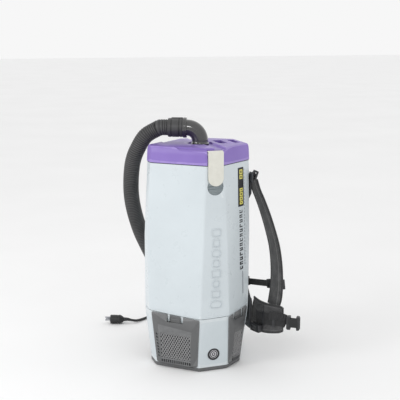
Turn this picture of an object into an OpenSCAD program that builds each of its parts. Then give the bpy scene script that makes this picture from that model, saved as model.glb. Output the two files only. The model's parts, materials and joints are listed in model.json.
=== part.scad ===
// Backpack vacuum cleaner with a shoulder and waist harness, in millimetres.
// Z is up, the wearer stands on the +Y side, and the lid latches are on the two X sides.

/* [Body] */
// Height of the upper shell's rim above the floor
shell_top = 617; // [540:1:760]
// Height of the widest level of the shell
mid_z = 400; // [330:1:480]
// Height of the seam between the upper shell and the base
seam_z = 167; // [160:1:200]
// Widest side to side size, across the two latch faces
body_w = 278; // [230:1:340]
// Depth from the axis to the outer face
front_d = 168; // [138:1:205]
// Depth from the axis to the back face
back_d = 138.5; // [115:0.5:168]
// Width of the latch face at the lid
side_top_w = 56; // [54:1:70]
// Width of the latch face at the widest level
side_mid_w = 72; // [60:1:86]
// Width of the latch face at the seam
side_seam_w = 90; // [74:1:100]
// Width of the outer face at the seam
front_face_w = 46; // [38:1:56]
// Width of the back face at the seam
back_face_w = 142; // [118:1:150]
// Radius of the upright corners
corner_r = 12; // [9:0.5:15]
// Wall thickness of the mouldings
wall = 3.2; // [2.4:0.1:4]
// Inward taper of each side at the foot
foot_taper = 17; // [10:1:22]
// Inward taper of the back face at the foot
foot_taper_back = 34.5; // [20:0.5:40]
// Height of the rim plate that the machine stands on
rim_h = 12; // [9:1:16]

/* [Lid] */
// Height of the lid's upright band
lid_band_h = 38; // [34:1:48]
// Height of the front plateau above the bevel
plateau_h = 5; // [3:0.5:8]
// Radius of the round pit that the elbow turns in
pit_r = 37; // [32:1:42]
// Height of the raised rear rim above the lid's flat top
rear_rim_h = 6; // [4:1:9]
// Width of the grip bar
grip_w = 20; // [16:1:24]
// Thickness of the lid gasket
gasket_t = 2; // [1:0.5:4]

/* [Latches] */
// Width of a latch
latch_w = 46; // [36:1:47]
// Length of a latch below its pin
latch_l = 94; // [78:1:113]
// Radius of a latch pin
latch_pin_r = 2; // [1.5:0.1:2.6]
// Thickness of a latch plate
latch_t = 5; // [4.2:0.2:6.2]

/* [Elbow and hose] */
// Outside diameter of the elbow tube
elbow_od = 48; // [40:1:52]
// Wall of the elbow tube
elbow_wall = 3; // [2:0.5:4]
// Bend radius of the elbow
elbow_bend = 38; // [34:1:46]
// Turn of the elbow's outlet away from straight ahead
elbow_turn = 24; // [0:1:40]
// Outside diameter of the hose cuff
cuff_od = 56; // [52:1:64]
// Length of the hose cuff outside the elbow
cuff_l = 44; // [36:1:53]
// Outside diameter of the hose
hose_d = 48; // [40:1:50]

/* [Vents] */
// Height of the air window in a vent cover
vent_window_h = 78; // [62:1:86]
// Solid border at each side of a front cover's window
front_margin = 18; // [14:1:24]
// Solid border at each side of a rear cover's window
rear_margin = 11; // [8:1:14]
// How far a vent cover's middle stands proud
vent_raise = 6; // [4:0.5:8]
// Pitch of the vent lattice
lattice_pitch = 11; // [9:0.5:14]

/* [Motor] */
// Radius of the motor can
motor_r = 54; // [45:1:60]
// Height of the motor can
motor_h = 78; // [65:1:80]
// Radius of the fan housing
fan_r = 70; // [60:1:76]
// Number of fan blades
fan_blades = 8; // [6:1:10]
// Radius of the motor shaft
shaft_r = 4; // [3:0.5:5]

/* [Harness] */
// Width of a shoulder pad
pad_w = 60; // [50:1:70]
// Thickness of a shoulder pad
pad_t = 11; // [9:1:14]
// Width of the webbing of the shoulder and sternum straps
web_w = 20; // [16:1:25]
// Width of the waist webbing
belt_web_w = 38; // [32:1:45]
// Thickness of all webbing
web_t = 1.8; // [1.4:0.1:2.2]
// Height of a waist pad at the back
wing_h = 104; // [87:1:112]
// Thickness of a waist pad
wing_t = 12; // [10:1:15]

/* [Power cord] */
// Diameter of the power cord
cord_d = 8.5; // [7:0.5:10]

/* [Clearances] */
// Gap between pieces that move past each other
gap = 0.4; // [0.3:0.05:0.6]
// Radial clearance of a shaft that runs in a bore
fit = 0.06; // [0.03:0.01:0.1]

/* [Hidden] */

// Levels of the body: height, half width, half width of the latch face, front depth, back depth
LEVELS = [
    [8, body_w / 2 - foot_taper, side_seam_w / 2 - 1, front_d - 21, back_d - foot_taper_back],
    [seam_z, body_w / 2 - 2.5, side_seam_w / 2, front_d - 2, back_d - 5.5],
    [mid_z, body_w / 2, side_mid_w / 2, front_d, back_d],
    [shell_top, body_w / 2 - 1, side_top_w / 2, front_d - 12, back_d - 2.5]];
// Slopes in plan of the four corner faces, set at the seam
front_slope = (LEVELS[1][1] - front_face_w / 2) / (LEVELS[1][3] - LEVELS[1][2]);
rear_slope = (LEVELS[1][1] - back_face_w / 2) / (LEVELS[1][4] - LEVELS[1][2]);
// The seam dips in the middle like the bottom of a large wheel that lies across the body
seam_r = 980;
seam_y = -30;
seam_gap = 1.2;
lid_z = shell_top + gasket_t;
bevel_z = lid_z + lid_band_h;
bevel_h = 4;
lid_top = bevel_z + bevel_h;
side_top_x = LEVELS[3][1];
pin_x = side_top_x - 3.5;
pin_z = bevel_z - 3;
knuckle_r = 6.5;
knuckle_swing = knuckle_r + 3;
scoop_r = 90;
groove_x = side_top_x - 1.2;
latch_x = side_top_x + 0.7;
notch_w = latch_w + 2 * gap;
elbow_y = 2;
spigot_r = elbow_od / 2 - 3;
elbow_foot = lid_top + gap;
flange_h = 5;
riser_h = 12;
outlet_z = elbow_foot + riser_h + elbow_bend;
collar_r = cuff_od / 2 + 2;
collar_l = 12;
collar_lap = 3;
collar_wall = 3;
nipple_r = elbow_od / 2 - 1;
retainer_z = lid_top - 24;
retainer_t = 2.6;
groove_d = 1.2;
cuff_start = elbow_bend + collar_l + gap;
cuff_end = cuff_start + cuff_l;
motor_y = -20;
mount_z = rim_h + 10;
can_z = mount_z + 12;
fan_z = can_z + motor_h;
fan_h = 40;
deck_z = fan_z + fan_h + 2;
deck_t = 5;
inlet_r = 28;
collar_z = shell_top - 26;
cloth_bottom = deck_z + 62;
grip_y = 92;
well_d = 30;
well_front = 52;
well_back = 118;
well_half = 36;
well_floor_t = 2.5;
rim_front = 34;
plate_y = back_d + 1;
plate_t = 4;
SCREW_X = [-36, 36];
SCREW_Z = [210, 540];
plate_top = 575;
plate_foot = 96;
lumbar_y = plate_y + plate_t;
lumbar_t = 14;
belt_z = 138;
strap_twist = 16;
grip_t = 11;
gland_x = -40;
gland_z = 24;
gland_len = 14;
STAR = [cos(elbow_turn), sin(elbow_turn)];
// Hand-laid routes, each through round points
HOSE_ROUTE = [[-55, -112, 707], [-70, -146, 684], [-85, -168, 642], [-98, -177, 608], [-110, -179, 575],
    [-122, -178, 543], [-134, -175, 510], [-146, -169, 476], [-158, -160, 442], [-170, -148, 406],
    [-182, -131, 362], [-192, -106, 310], [-200, -76, 250], [-205, -45, 190], [-209, -14, 136],
    [-216, 26, 86], [-228, 72, 48], [-249, 126, 26.5], [-288, 174, 24.1], [-345, 204, 24.1],
    [-408, 215, 24.1], [-452, 214, 24.1]];
CORD_ROUTE = [[-41, 134, 18], [-52, 152, 8], [-84, 158, 4.4], [-122, 138, 4.4], [-152, 98, 4.4],
    [-172, 48, 4.4], [-196, -2, 4.4], [-240, -22, 4.4], [-296, -2, 4.4], [-348, 14, 4.4], [-388, -4, 4.4],
    [-402, -42, 4.4], [-384, -74, 5], [-367, -104, 8]];
PLUG_FROM = [-370, -133, 15];
PLUG_TO = [-391, -188, 15];
// Lines of the pads: sideways, out from the harness plate, and up
STRAP_RIGHT = [[62, 5.5, 558], [66, 13, 528], [71, 26, 494], [77, 40, 452], [83, 53, 406], [90, 64, 356],
    [96, 69, 304], [101, 69, 250], [104, 65, 208], [105, 58, 176]];
STRAP_LEFT = [[-62, 5.5, 558], [-66, 11, 528], [-71, 18, 494], [-77, 25, 452], [-83, 30, 406], [-90, 34, 356],
    [-96, 36, 304], [-101, 37, 250], [-104, 36, 208], [-105, 34, 176]];
WING_RIGHT = [[44, 20.2, 138], [74, 22, 138], [106, 32, 139], [130, 48, 141], [146, 70, 142]];
WING_LEFT = [[-44, 20.2, 138], [-76, 21, 138], [-108, 25, 139], [-138, 33, 141], [-162, 45, 142]];
function laid(line) = [for (p = line) [p[0], p[1] + lumbar_y, p[2]]];
strap_right_line = laid(STRAP_RIGHT);
strap_left_line = laid(STRAP_LEFT);
wing_right_line = laid(WING_RIGHT);
wing_left_line = laid(WING_LEFT);

// ---- Geometry helpers ----

function unit(v) = v / norm(v);
function level(z, column) = lookup(z, [for (row = LEVELS) [row[0], row[column]]]);
function front_half(z) = level(z, 1) - front_slope * (level(z, 3) - level(z, 2));
function back_half(z) = level(z, 1) - rear_slope * (level(z, 4) - level(z, 2));
// Corners of the body's plan at a height, counter-clockwise
function plan(z) = let (x = level(z, 1), s = level(z, 2), f = level(z, 3), b = level(z, 4),
    fh = front_half(z), bh = back_half(z))
    [[x, -s], [x, s], [bh, b], [-bh, b], [-x, s], [-x, -s], [-fh, -f], [fh, -f]];
// Outward normal of the edge that leaves a corner
function edge_normal(p, i) = let (e = unit(p[(i + 1) % len(p)] - p[i])) [e[1], -e[0]];
// One rounded outline at a height, moved inward by an inset
function ring(z, inset) = let (p = plan(z), n = len(p), r = max(corner_r - inset, 1.5), steps = 3)
    [for (i = [0:n - 1])
        let (a = edge_normal(p, (i + n - 1) % n), b = edge_normal(p, i),
            centre = p[i] - (inset + r) * (a + b) / (1 + a * b),
            from = atan2(a[1], a[0]), turn = (atan2(b[1], b[0]) - from + 360) % 360)
        for (k = [0:steps]) let (t = from + turn * k / steps) [centre[0] + r * cos(t), centre[1] + r * sin(t), z]];
// Triangles that join stacked rings of the same length, with both ends closed
function skin_faces(rings, n) = concat([[for (j = [0:n - 1]) j]],
    [for (m = [0:rings - 2], j = [0:n - 1]) let (a = m * n + j, b = m * n + (j + 1) % n) [a, a + n, b + n]],
    [for (m = [0:rings - 2], j = [0:n - 1]) let (a = m * n + j, b = m * n + (j + 1) % n) [a, b + n, b]],
    [[for (j = [n - 1:-1:0]) (rings - 1) * n + j]]);
// The body's form between stations of [height, inset]
module loft(stations) {
    rings = [for (s = stations) ring(s[0], s[1])];
    n = len(rings[0]);
    polyhedron([for (r = rings, p = r) p], skin_faces(len(rings), n), convexity = 6);
}
// Everything above the seam, or the same wheel grown by a gap
module above_seam(extra = 0) translate([0, seam_y, seam_z + seam_r])
    rotate([0, 90, 0]) cylinder(r = seam_r + extra, h = 2 * body_w, center = true, $fn = 720);
function seam_height(y) = seam_z + seam_r - sqrt(seam_r * seam_r - (y - seam_y) * (y - seam_y));

// A smooth line through points, with a number of steps between neighbours
function spline(p, steps) = concat([for (i = [0:len(p) - 2], k = [0:steps - 1])
    let (t = k / steps, a = p[max(i - 1, 0)], b = p[i], c = p[i + 1], d = p[min(i + 2, len(p) - 1)])
    0.5 * (2 * b + (c - a) * t + (2 * a - 5 * b + 4 * c - d) * t * t + (3 * b - a - 3 * c + d) * t * t * t)],
    [p[len(p) - 1]]);
function tangents(p) = let (n = len(p)) [for (i = [0:n - 1]) unit(p[min(i + 1, n - 1)] - p[max(i - 1, 0)])];
// Carries a sideways direction along the line without twisting it
function carry(t, side, i = 0) = i >= len(t) ? [] :
    let (s = unit(side - (side * t[i]) * t[i])) concat([s], carry(t, s, i + 1));
// Sweeps a flat outline along a line; grow gives the width factor at the two ends
module sweep(outline, line, side, grow = [1, 1], first = [0, 0, 0]) {
    t = norm(first) > 0 ? concat([unit(first)], [for (i = [1:len(line) - 1]) tangents(line)[i]]) : tangents(line);
    s = carry(t, side);
    n = len(outline);
    points = [for (i = [0:len(line) - 1])
        let (g = grow[0] + (grow[1] - grow[0]) * i / (len(line) - 1), up = cross(t[i], s[i]))
        for (q = outline) line[i] + g * q[0] * s[i] + q[1] * up];
    polyhedron(points, skin_faces(len(line), n), convexity = 6);
}
function round_outline(d, sides) = [for (k = [0:sides - 1]) d / 2 * [cos(360 * k / sides), sin(360 * k / sides)]];
// A flat strip's outline with four cut corners
function strip_outline(w, t, cut) = [[w / 2, -t / 2 + cut], [w / 2, t / 2 - cut], [w / 2 - cut, t / 2],
    [-w / 2 + cut, t / 2], [-w / 2, t / 2 - cut], [-w / 2, -t / 2 + cut], [-w / 2 + cut, -t / 2],
    [w / 2 - cut, -t / 2]];
module block(low, high) translate(low) cube(high - low);
module tube(r, hole, h) difference() {
    cylinder(r = r, h = h, $fn = 96);
    translate([0, 0, -1]) cylinder(r = hole, h = h + 2, $fn = 96);
}
module rounded_plate(w, h, t, r) translate([0, 0, -t / 2]) linear_extrude(t)
    union() {
        square([w - 2 * r, h], center = true);
        square([w, h - 2 * r], center = true);
        for (x = [-1, 1], y = [-1, 1]) translate([x * (w / 2 - r), y * (h / 2 - r)]) circle(r, $fn = 32);
    }
module pair() for (s = [0, 1]) mirror([s, 0, 0]) children();

// ---- Corner faces of the base, where the vents sit ----

// Each corner face: plan points at the seam and at the foot, on the +X side
function face_ends(rear, z) = let (p = plan(z)) rear ? [p[1], p[2]] : [p[0], p[7]];
function face_mid(rear, z) = let (e = face_ends(rear, z)) (e[0] + e[1]) / 2;
function face_out(rear) = let (e = face_ends(rear, seam_z), d = unit(e[1] - e[0]))
    rear ? [d[1], -d[0]] : [-d[1], d[0]];
function face_far(rear, z) = face_mid(rear, z) * face_out(rear);
function face_width(rear, z) = let (e = face_ends(rear, z)) norm(e[1] - e[0]);
face_low = rim_h + 2;
face_high = seam_z - 3;
function face_tilt(rear) = atan((face_far(rear, seam_z) - face_far(rear, 8)) / (seam_z - 8));
// Puts children in a corner face's own frame: X out of the face, Y along it, Z up it, origin at its foot
module on_face(rear, left) mirror([left ? 1 : 0, 0, 0]) {
    mid = face_mid(rear, face_low);
    out = face_out(rear);
    translate([mid[0], mid[1], face_low]) rotate([0, 0, atan2(out[1], out[0])])
        rotate([0, face_tilt(rear), 0]) children();
}
// Heights of a cover's two top corners in its face's frame, along -Y and +Y
function top_corner(rear, end) = let (w = face_width(rear, seam_z) / 2 - cover_side,
    along = face_out(rear), dir = [-along[1], along[0]], p = face_mid(rear, seam_z) + end * w * dir)
    (seam_height(p[1]) - 2.5 - face_low) / cos(face_tilt(rear));
cover_side = 5;
cover_t = 3;
bevel_top = 28;
bevel_side = 20;
window_foot = 20;
tab_w = 34;
tab_slot = 9;

// ---- Body ----

module upper_shell() color("#D3DBE0") difference() {
    intersection() {
        loft([[seam_z - 20, 0], [seam_z, 0], [mid_z, 0], [shell_top, 0]]);
        above_seam();
    }
    loft([[seam_z - 40, wall], [seam_z, wall], [mid_z, wall], [shell_top + 1, wall]]);
    // Shallow latch grooves with a finger scoop below each, open at the rim
    pair() {
        translate([groove_x, 0, 0]) latch_outline(gap, 20);
        intersection() {
            translate([side_top_x + scoop_r - 1.9, 0, pin_z - latch_l - 8]) rotate([90, 0, 0])
                cylinder(r = scoop_r, h = notch_w, center = true, $fn = 240);
            translate([side_top_x, 0, pin_z - latch_l - 3]) rotate([0, 90, 0])
                cylinder(r = notch_w / 2, h = 40, center = true, $fn = 96);
        }
    }
    // Screw holes of the harness plate
    for (x = SCREW_X, z = SCREW_Z) translate([x, back_d - 12, z])
        rotate([-90, 0, 0]) cylinder(r = 2.1, h = 20, $fn = 32);
}
module base_housing() color("#CBD2D6") difference() {
    loft([[rim_h, 0], [seam_z, 0], [seam_z + 40, 0]]);
    loft([[rim_h - 1, wall], [seam_z, wall], [seam_z + 41, wall]]);
    above_seam(seam_gap);
    for (rear = [false, true], left = [false, true]) on_face(rear, left) window_block(rear, -12, 6);
    for (s = [-1, 1]) translate([s * (level(badge_z, 1) - 1.2), 0, badge_z]) rotate([0, s * 90, 0])
        cylinder(r = badge_r + 0.2, h = 8, $fn = 64);
    translate([gland_x, back_d - 60, gland_z]) rotate([-90, 0, 0]) cylinder(r = gland_bore_r, h = 60, $fn = 48);
}
badge_z = 53;
badge_r = 18.5;
gland_bore_r = 8;
module base_rim() color("#58595C") difference() {
    loft([[0, 2.5], [3, -0.8], [rim_h - gap, -0.8]]);
    loft([[4, wall + 3], [rim_h + 1, wall + 3]]);
}
module badge(s) color("#A5A4A8") translate([s * (level(badge_z, 1) - 1.2), 0, badge_z]) rotate([0, s * 90, 0])
    difference() {
        cylinder(r = badge_r, h = 3, $fn = 96);
        translate([0, 0, 2]) tube(14.5, 11, 2);
    }
module badge_left() badge(-1);
module badge_right() badge(1);
// Label plate on the rear corner face, lying on the shell
label_w = 30;
label_foot = 416;
label_head = 602;
label_shift = 15;
module label(left) color("#22242A") mirror([left ? 1 : 0, 0, 0]) {
    low = face_mid(true, label_foot);
    high = face_mid(true, label_head);
    out = unit(face_ends(true, 450)[1] - face_ends(true, 450)[0]);
    lean = atan((high - low) * [out[1], -out[0]] / (label_head - label_foot));
    translate([low[0], low[1], label_foot]) rotate([0, 0, atan2(-out[0], out[1])]) rotate([0, lean, 0])
        block([0, label_shift - label_w / 2, 0], [1, label_shift + label_w / 2, label_head - label_foot]);
}
module label_left() label(true);
module label_right() label(false);

// A block the size of a cover's air window, between two distances out of the face, grown by an edge
module window_block(rear, from, to, edge = 0) {
    half = face_width(rear, face_low) / 2 - cover_side - (rear ? rear_margin : front_margin) + edge;
    block([from, -half, window_foot - edge], [to, half, window_foot + vent_window_h + edge]);
}
module vent_lattice(rear) intersection() {
    window_block(rear, 0, 2);
    rotate([90, 0, 90]) linear_extrude(2) for (lean = [-32, 32], k = [-7:7])
        translate([k * lattice_pitch, window_foot + vent_window_h / 2]) rotate(lean)
            square([3.2, 3 * vent_window_h], center = true);
}
// The outline of a cover in its face's frame, shrunk by an inset
function cover_outline(rear, inset, foot = 0) = let (w0 = face_width(rear, face_low) / 2 - cover_side - inset,
    w1 = face_width(rear, seam_z) / 2 - cover_side - inset)
    [[-w0, foot], [w0, foot], [w1, top_corner(rear, 1) - inset], [-w1, top_corner(rear, -1) - inset]];
module vent_cover(rear, left) color("#6A6B6D") on_face(rear, left) difference() {
    union() {
        translate([gap, 0, 0]) rotate([90, 0, 90]) linear_extrude(cover_t) polygon(cover_outline(rear, 0));
        raised_middle(rear);
        translate([gap, 0, 0]) vent_lattice(rear);
    }
    difference() {
        window_block(rear, -1, 20);
        translate([gap, 0, 0]) vent_lattice(rear);
    }
    // Two slots free the snap tab at the top
    for (s = [-1, 1]) translate([0, s * (tab_w + tab_slot) / 2, 0])
        block([-1, -tab_slot / 2, min(top_corner(rear, 1), top_corner(rear, -1)) - 16], [30, tab_slot / 2, 400]);
    block([cover_t + gap, -tab_w / 2, min(top_corner(rear, 1), top_corner(rear, -1)) - 16], [30, tab_w / 2, 400]);
}
// The raised middle, with sloped edges at the top and sides
module raised_middle(rear) {
    base = cover_outline(rear, 1);
    inner = cover_outline(rear, bevel_side, 1);
    drop = [0, 0, bevel_top - bevel_side, bevel_top - bevel_side];
    low = [for (p = base) [cover_t, p[0], p[1]]];
    high = [for (i = [0:3]) [cover_t + vent_raise, inner[i][0], inner[i][1] - drop[i]]];
    polyhedron(concat(low, high), skin_faces(2, 4), convexity = 2);
}
module vent_front_left() vent_cover(false, true);
module vent_front_right() vent_cover(false, false);
module vent_rear_left() vent_cover(true, true);
module vent_rear_right() vent_cover(true, false);
// Foam pads stand just inside the base wall, behind each window
module foam(rear, left) color("#3E3F42") on_face(rear, left) window_block(rear, -wall - 10, -wall, 4);
module foam_front_left() foam(false, true);
module foam_front_right() foam(false, false);
module foam_rear_left() foam(true, true);
module foam_rear_right() foam(true, false);

// ---- Motor and filters ----

module motor_deck() color("#4A4C50") difference() {
    loft([[deck_z, wall + gap], [deck_z + deck_t, wall + gap]]);
    translate([0, motor_y, deck_z - 1]) cylinder(r = inlet_r, h = deck_t + 2, $fn = 96);
}
module deck_gasket() color("#1E1F21") translate([0, motor_y, fan_z + fan_h]) tube(inlet_r + 16, inlet_r + 2, 2);
module dome_filter() color("#E6E3DA") translate([0, motor_y, deck_z + deck_t]) rotate_extrude($fn = 96)
    difference() {
        union() {
            intersection() { circle(46, $fn = 96); square([60, 60]); }
            square([52, 3]);
        }
        circle(42, $fn = 96);
        translate([-70, -1]) square([70, 80]);
    }
module fan_housing() color("#B9BBBE") translate([0, motor_y, fan_z]) difference() {
    cylinder(r = fan_r, h = fan_h, $fn = 120);
    translate([0, 0, 3]) cylinder(r = fan_r - 2.5, h = fan_h - 6, $fn = 120);
    translate([0, 0, fan_h - 4]) cylinder(r = inlet_r - 2, h = 5, $fn = 96);
    translate([0, 0, -1]) cylinder(r = shaft_r + 5, h = 5, $fn = 64);
    for (a = [0:60:300]) rotate([0, 0, a]) translate([fan_r - 12, 0, -1]) cylinder(r = 5, h = 5, $fn = 32);
}
module motor_can() color("#8E9094") translate([0, motor_y, can_z]) difference() {
    cylinder(r = motor_r, h = motor_h, $fn = 120);
    translate([0, 0, 4]) cylinder(r = motor_r - 3, h = motor_h, $fn = 120);
    translate([0, 0, -1]) cylinder(r = shaft_r + fit, h = 6, $fn = 64);
    for (a = [0:45:315]) rotate([0, 0, a]) translate([motor_r - 6, -5, 20]) cube([12, 10, 34]);
}
module motor_mount() color("#232426") translate([0, motor_y, 4]) difference() {
    cylinder(r = motor_r + 6, h = can_z + 6 - 4, $fn = 120);
    translate([0, 0, can_z - 4]) cylinder(r = motor_r, h = 11, $fn = 120);
    translate([0, 0, -1]) cylinder(r = motor_r - 14, h = can_z, $fn = 120);
}
module brush_holders() color("#B08A3C") translate([0, motor_y, can_z + 10]) for (s = [-1, 1])
    block([s > 0 ? 14.6 : 3 - motor_r, -6, 0], [s > 0 ? motor_r - 3 : -14.6, 6, 9]);
module armature() color("#9A6A3A") translate([0, motor_y, 0]) {
    translate([0, 0, can_z - 6]) cylinder(r = shaft_r, h = motor_h + fan_h + 2, $fn = 64);
    translate([0, 0, can_z + 8]) cylinder(r = 14, h = 14, $fn = 96);
    translate([0, 0, can_z + 26]) cylinder(r = 28, h = motor_h - 38, $fn = 96);
}
module fan_rotor() color("#C9CBCE") translate([0, motor_y, fan_z]) difference() {
    union() {
        translate([0, 0, 8]) cylinder(r = fan_r - 8, h = 2, $fn = 120);
        translate([0, 0, 28]) tube(fan_r - 8, inlet_r - 4, 2);
        translate([0, 0, 5]) cylinder(r = 10, h = 20, $fn = 64);
        for (k = [0:fan_blades - 1]) rotate([0, 0, k * 360 / fan_blades]) translate([12, 0, 9]) rotate([0, 0, 24])
            cube([fan_r - 26, 2, 20]);
    }
    cylinder(r = shaft_r, h = 40, $fn = 64);
}
module cloth_filter() color("#E9E7DF") difference() {
    union() {
        loft([[cloth_bottom, 34], [cloth_bottom + 24, 14], [mid_z, 11], [collar_z - 12, 12]]);
        loft([[collar_z - 12, wall + gap], [collar_z - 6, wall + gap]]);
    }
    loft([[cloth_bottom + 2, 35], [cloth_bottom + 25, 15.5], [mid_z, 12.5], [collar_z, 13.5]]);
}
module paper_bag() color("#D9C9A5") difference() {
    loft([[cloth_bottom + 12, 46], [cloth_bottom + 50, 28], [mid_z, 24], [collar_z - 34, 24], [collar_z - 12, 40]]);
    loft([[cloth_bottom + 13.5, 47], [cloth_bottom + 51, 29.5], [mid_z, 25.5], [collar_z - 35, 25.5],
        [collar_z - 13.5, 42]]);
    translate([0, elbow_y, collar_z - 30]) cylinder(r = spigot_r + 3, h = 40, $fn = 64);
}
module bag_collar() color("#B89B6A") translate([0, elbow_y, collar_z - 12 + gap]) difference() {
    translate([0, 0, 2.5]) rounded_plate(120, 96, 5, 10);
    translate([0, 0, -1]) cylinder(r = spigot_r + gap, h = 8, $fn = 96);
}

// ---- Lid, latches and elbow ----

module lid() color("#8A72BD") difference() {
    union() {
        difference() {
            union() {
                loft([[lid_z, -1.5], [bevel_z, 0.5], [lid_top, 7]]);
                loft([[lid_z - 8, wall + 1], [lid_z + 4, wall + 1]]);
                intersection() {
                    loft([[bevel_z, 14], [lid_top, 14], [lid_top + plateau_h, 18]]);
                    block([-200, -300, 0], [200, elbow_y, 900]);
                }
                // Raised rear rim round the finger well
                intersection() {
                    loft([[bevel_z - 1, 1], [lid_top + rear_rim_h - 3, 2.5], [lid_top + rear_rim_h, 6.5]]);
                    block([-200, rim_front, 0], [200, 300, 900]);
                }
            }
            loft([[lid_z - 9, wall + 3.5], [bevel_z - 3, wall + 3.5], [lid_top - 3, wall + 8]]);
        }
        // Solid cheeks that carry the latch pins
        intersection() {
            loft([[lid_z, 0], [bevel_z - 1, 1]]);
            for (s = [-1, 1]) block([s * (side_top_x - 9) - 11, -30, lid_z], [s * (side_top_x - 9) + 11, 30, bevel_z]);
        }
        // Boss of the elbow bore
        translate([0, elbow_y, lid_top - 20]) cylinder(r = spigot_r + 5, h = 20, $fn = 96);
        // Tray of the finger well
        block([-well_half - well_floor_t, well_front - well_floor_t, lid_top - well_d - well_floor_t],
            [well_half + well_floor_t, well_back + well_floor_t, lid_top]);
    }
    translate([0, elbow_y, lid_top]) cylinder(r = pit_r, h = 30, $fn = 120);
    translate([0, elbow_y, lid_top - 40]) cylinder(r = spigot_r + fit, h = 60, $fn = 96);
    block([-well_half, well_front, lid_top - well_d], [well_half, well_back, lid_top + 30]);
    pair() {
        block([pin_x - knuckle_swing, -notch_w / 2, lid_z - 10], [side_top_x + 12, notch_w / 2, lid_top + 10]);
        translate([pin_x, 0, pin_z]) rotate([90, 0, 0])
            cylinder(r = latch_pin_r, h = notch_w + 7, center = true, $fn = 48);
    }
    // Small drain slot at the front of the plateau
    block([-40, -134, lid_top + 1], [-26, -128, lid_top + 20]);
}
module lid_gasket() color("#222325") difference() {
    loft([[shell_top, 0.2], [lid_z, 0.2]]);
    loft([[shell_top - 1, wall + 0.4], [lid_z + 1, wall + 0.4]]);
    pair() block([groove_x - 8, -notch_w / 2 - 0.2, shell_top - 1], [side_top_x + 9, notch_w / 2 + 0.2, lid_z + 1]);
}
// Grip bar across the finger well
module carry_handle() color("#7F67B4") translate([0, grip_y, lid_top + rear_rim_h - 0.5 - grip_t / 2])
    rotate([90, 0, 90]) rounded_plate(grip_w, grip_t, 2 * well_half, 4);
module latch_pins() color("#B4B6BA") for (s = [-1, 1]) translate([s * pin_x, 0, pin_z]) rotate([90, 0, 0])
    cylinder(r = latch_pin_r, h = notch_w + 6.5, center = true, $fn = 48);
// A latch: a knuckle round its pin and a plate that hangs down over the shell
// Outline of a latch plate with its half-round foot, grown by an edge and extruded outward
module latch_outline(edge, t) translate([0, 0, pin_z - latch_l + latch_w / 2]) rotate([90, 0, 90])
    linear_extrude(t) union() {
        circle(latch_w / 2 + edge, $fn = 96);
        translate([-latch_w / 2 - edge, 0]) square([latch_w + 2 * edge, latch_l]);
    }
module latch(left) color("#DEDDD5") mirror([left ? 1 : 0, 0, 0]) difference() {
    intersection() {
        translate([0, latch_w / 2, 0]) rotate([90, 0, 0]) linear_extrude(latch_w) union() {
            translate([pin_x, pin_z]) circle(knuckle_r, $fn = 64);
            translate([latch_x, pin_z - latch_l]) square([latch_t, latch_l - 2]);
            translate([pin_x, pin_z]) polygon([[0, -4], [latch_x + latch_t - pin_x, -4],
                [latch_x + latch_t - pin_x, 1], [latch_x + latch_t - pin_x - 4, 4.5], [0, 4.5]]);
        }
        translate([pin_x - 30, 0, 0]) latch_outline(0, 60);
    }
    translate([pin_x, 0, pin_z]) rotate([90, 0, 0])
        cylinder(r = latch_pin_r + fit, h = latch_w + 2, center = true, $fn = 48);
    // Channel over the shell's catch, open at the foot
    block([latch_x - 1, -6, pin_z - latch_l - 1], [latch_x + 1.8, 6, pin_z - latch_l + 30]);
}
module latch_left() latch(true);
module latch_right() latch(false);
// Places children on the elbow's axis, turned to its outlet
module at_elbow() translate([0, elbow_y, 0]) rotate([0, 0, -elbow_turn]) children();
module elbow() color("#3F4043") at_elbow() {
    difference() {
        union() {
            translate([0, 0, collar_z - 6]) cylinder(r = spigot_r, h = elbow_foot - collar_z + 7, $fn = 96);
            translate([0, 0, elbow_foot]) cylinder(r = elbow_od / 2 + 3, h = flange_h, $fn = 96);
            translate([0, 0, elbow_foot]) cylinder(r = elbow_od / 2, h = riser_h, $fn = 96);
        }
        translate([0, 0, collar_z - 7]) cylinder(r = elbow_od / 2 - elbow_wall - 3, h = 200, $fn = 96);
        // Groove of the retaining ring
        translate([0, 0, retainer_z]) tube(spigot_r + 1, spigot_r - groove_d, retainer_t);
    }
    translate([0, -elbow_bend, elbow_foot + riser_h]) rotate([90, 0, 90]) rotate_extrude(angle = 90, $fn = 96)
        translate([elbow_bend, 0]) difference() {
            circle(elbow_od / 2, $fn = 96);
            circle(elbow_od / 2 - elbow_wall, $fn = 96);
        }
    translate([0, -elbow_bend, outlet_z]) rotate([90, 0, 0]) difference() {
        cylinder(r = collar_r, h = collar_l, $fn = 96);
        translate([0, 0, -1]) cylinder(r = elbow_od / 2 - elbow_wall, h = collar_lap + 2, $fn = 96);
        translate([0, 0, collar_lap]) cylinder(r = nipple_r + fit, h = collar_l, $fn = 96);
    }
}
module elbow_retainer() color("#5A5C60") at_elbow() translate([0, 0, retainer_z]) tube(spigot_r + 4, spigot_r - groove_d, retainer_t);
module hose_cuff() color("#47484B") at_elbow() translate([0, 0, outlet_z]) rotate([90, 0, 0]) difference() {
    union() {
        translate([0, 0, elbow_bend + collar_lap + gap]) cylinder(r = nipple_r, h = collar_l, $fn = 96);
        translate([0, 0, cuff_start]) cylinder(r = cuff_od / 2, h = cuff_l, $fn = 96);
        translate([-4, cuff_od / 2 - 3, cuff_start]) cube([8, 5, cuff_l - 10]);
    }
    translate([0, 0, elbow_bend]) cylinder(r = elbow_od / 2 - elbow_wall, h = cuff_l - 6 + collar_l, $fn = 96);
}
function elbow_at(d, z) = [-sin(elbow_turn) * d, elbow_y - cos(elbow_turn) * d, z];
hose_line = spline(concat([elbow_at(cuff_end, outlet_z), elbow_at(cuff_end + 20, outlet_z)], HOSE_ROUTE), 2);
module hose() color("#4B4C4E") sweep(round_outline(hose_d, 12), hose_line, [0, 0, 1], first = [-STAR[1], -STAR[0], 0]);
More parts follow.
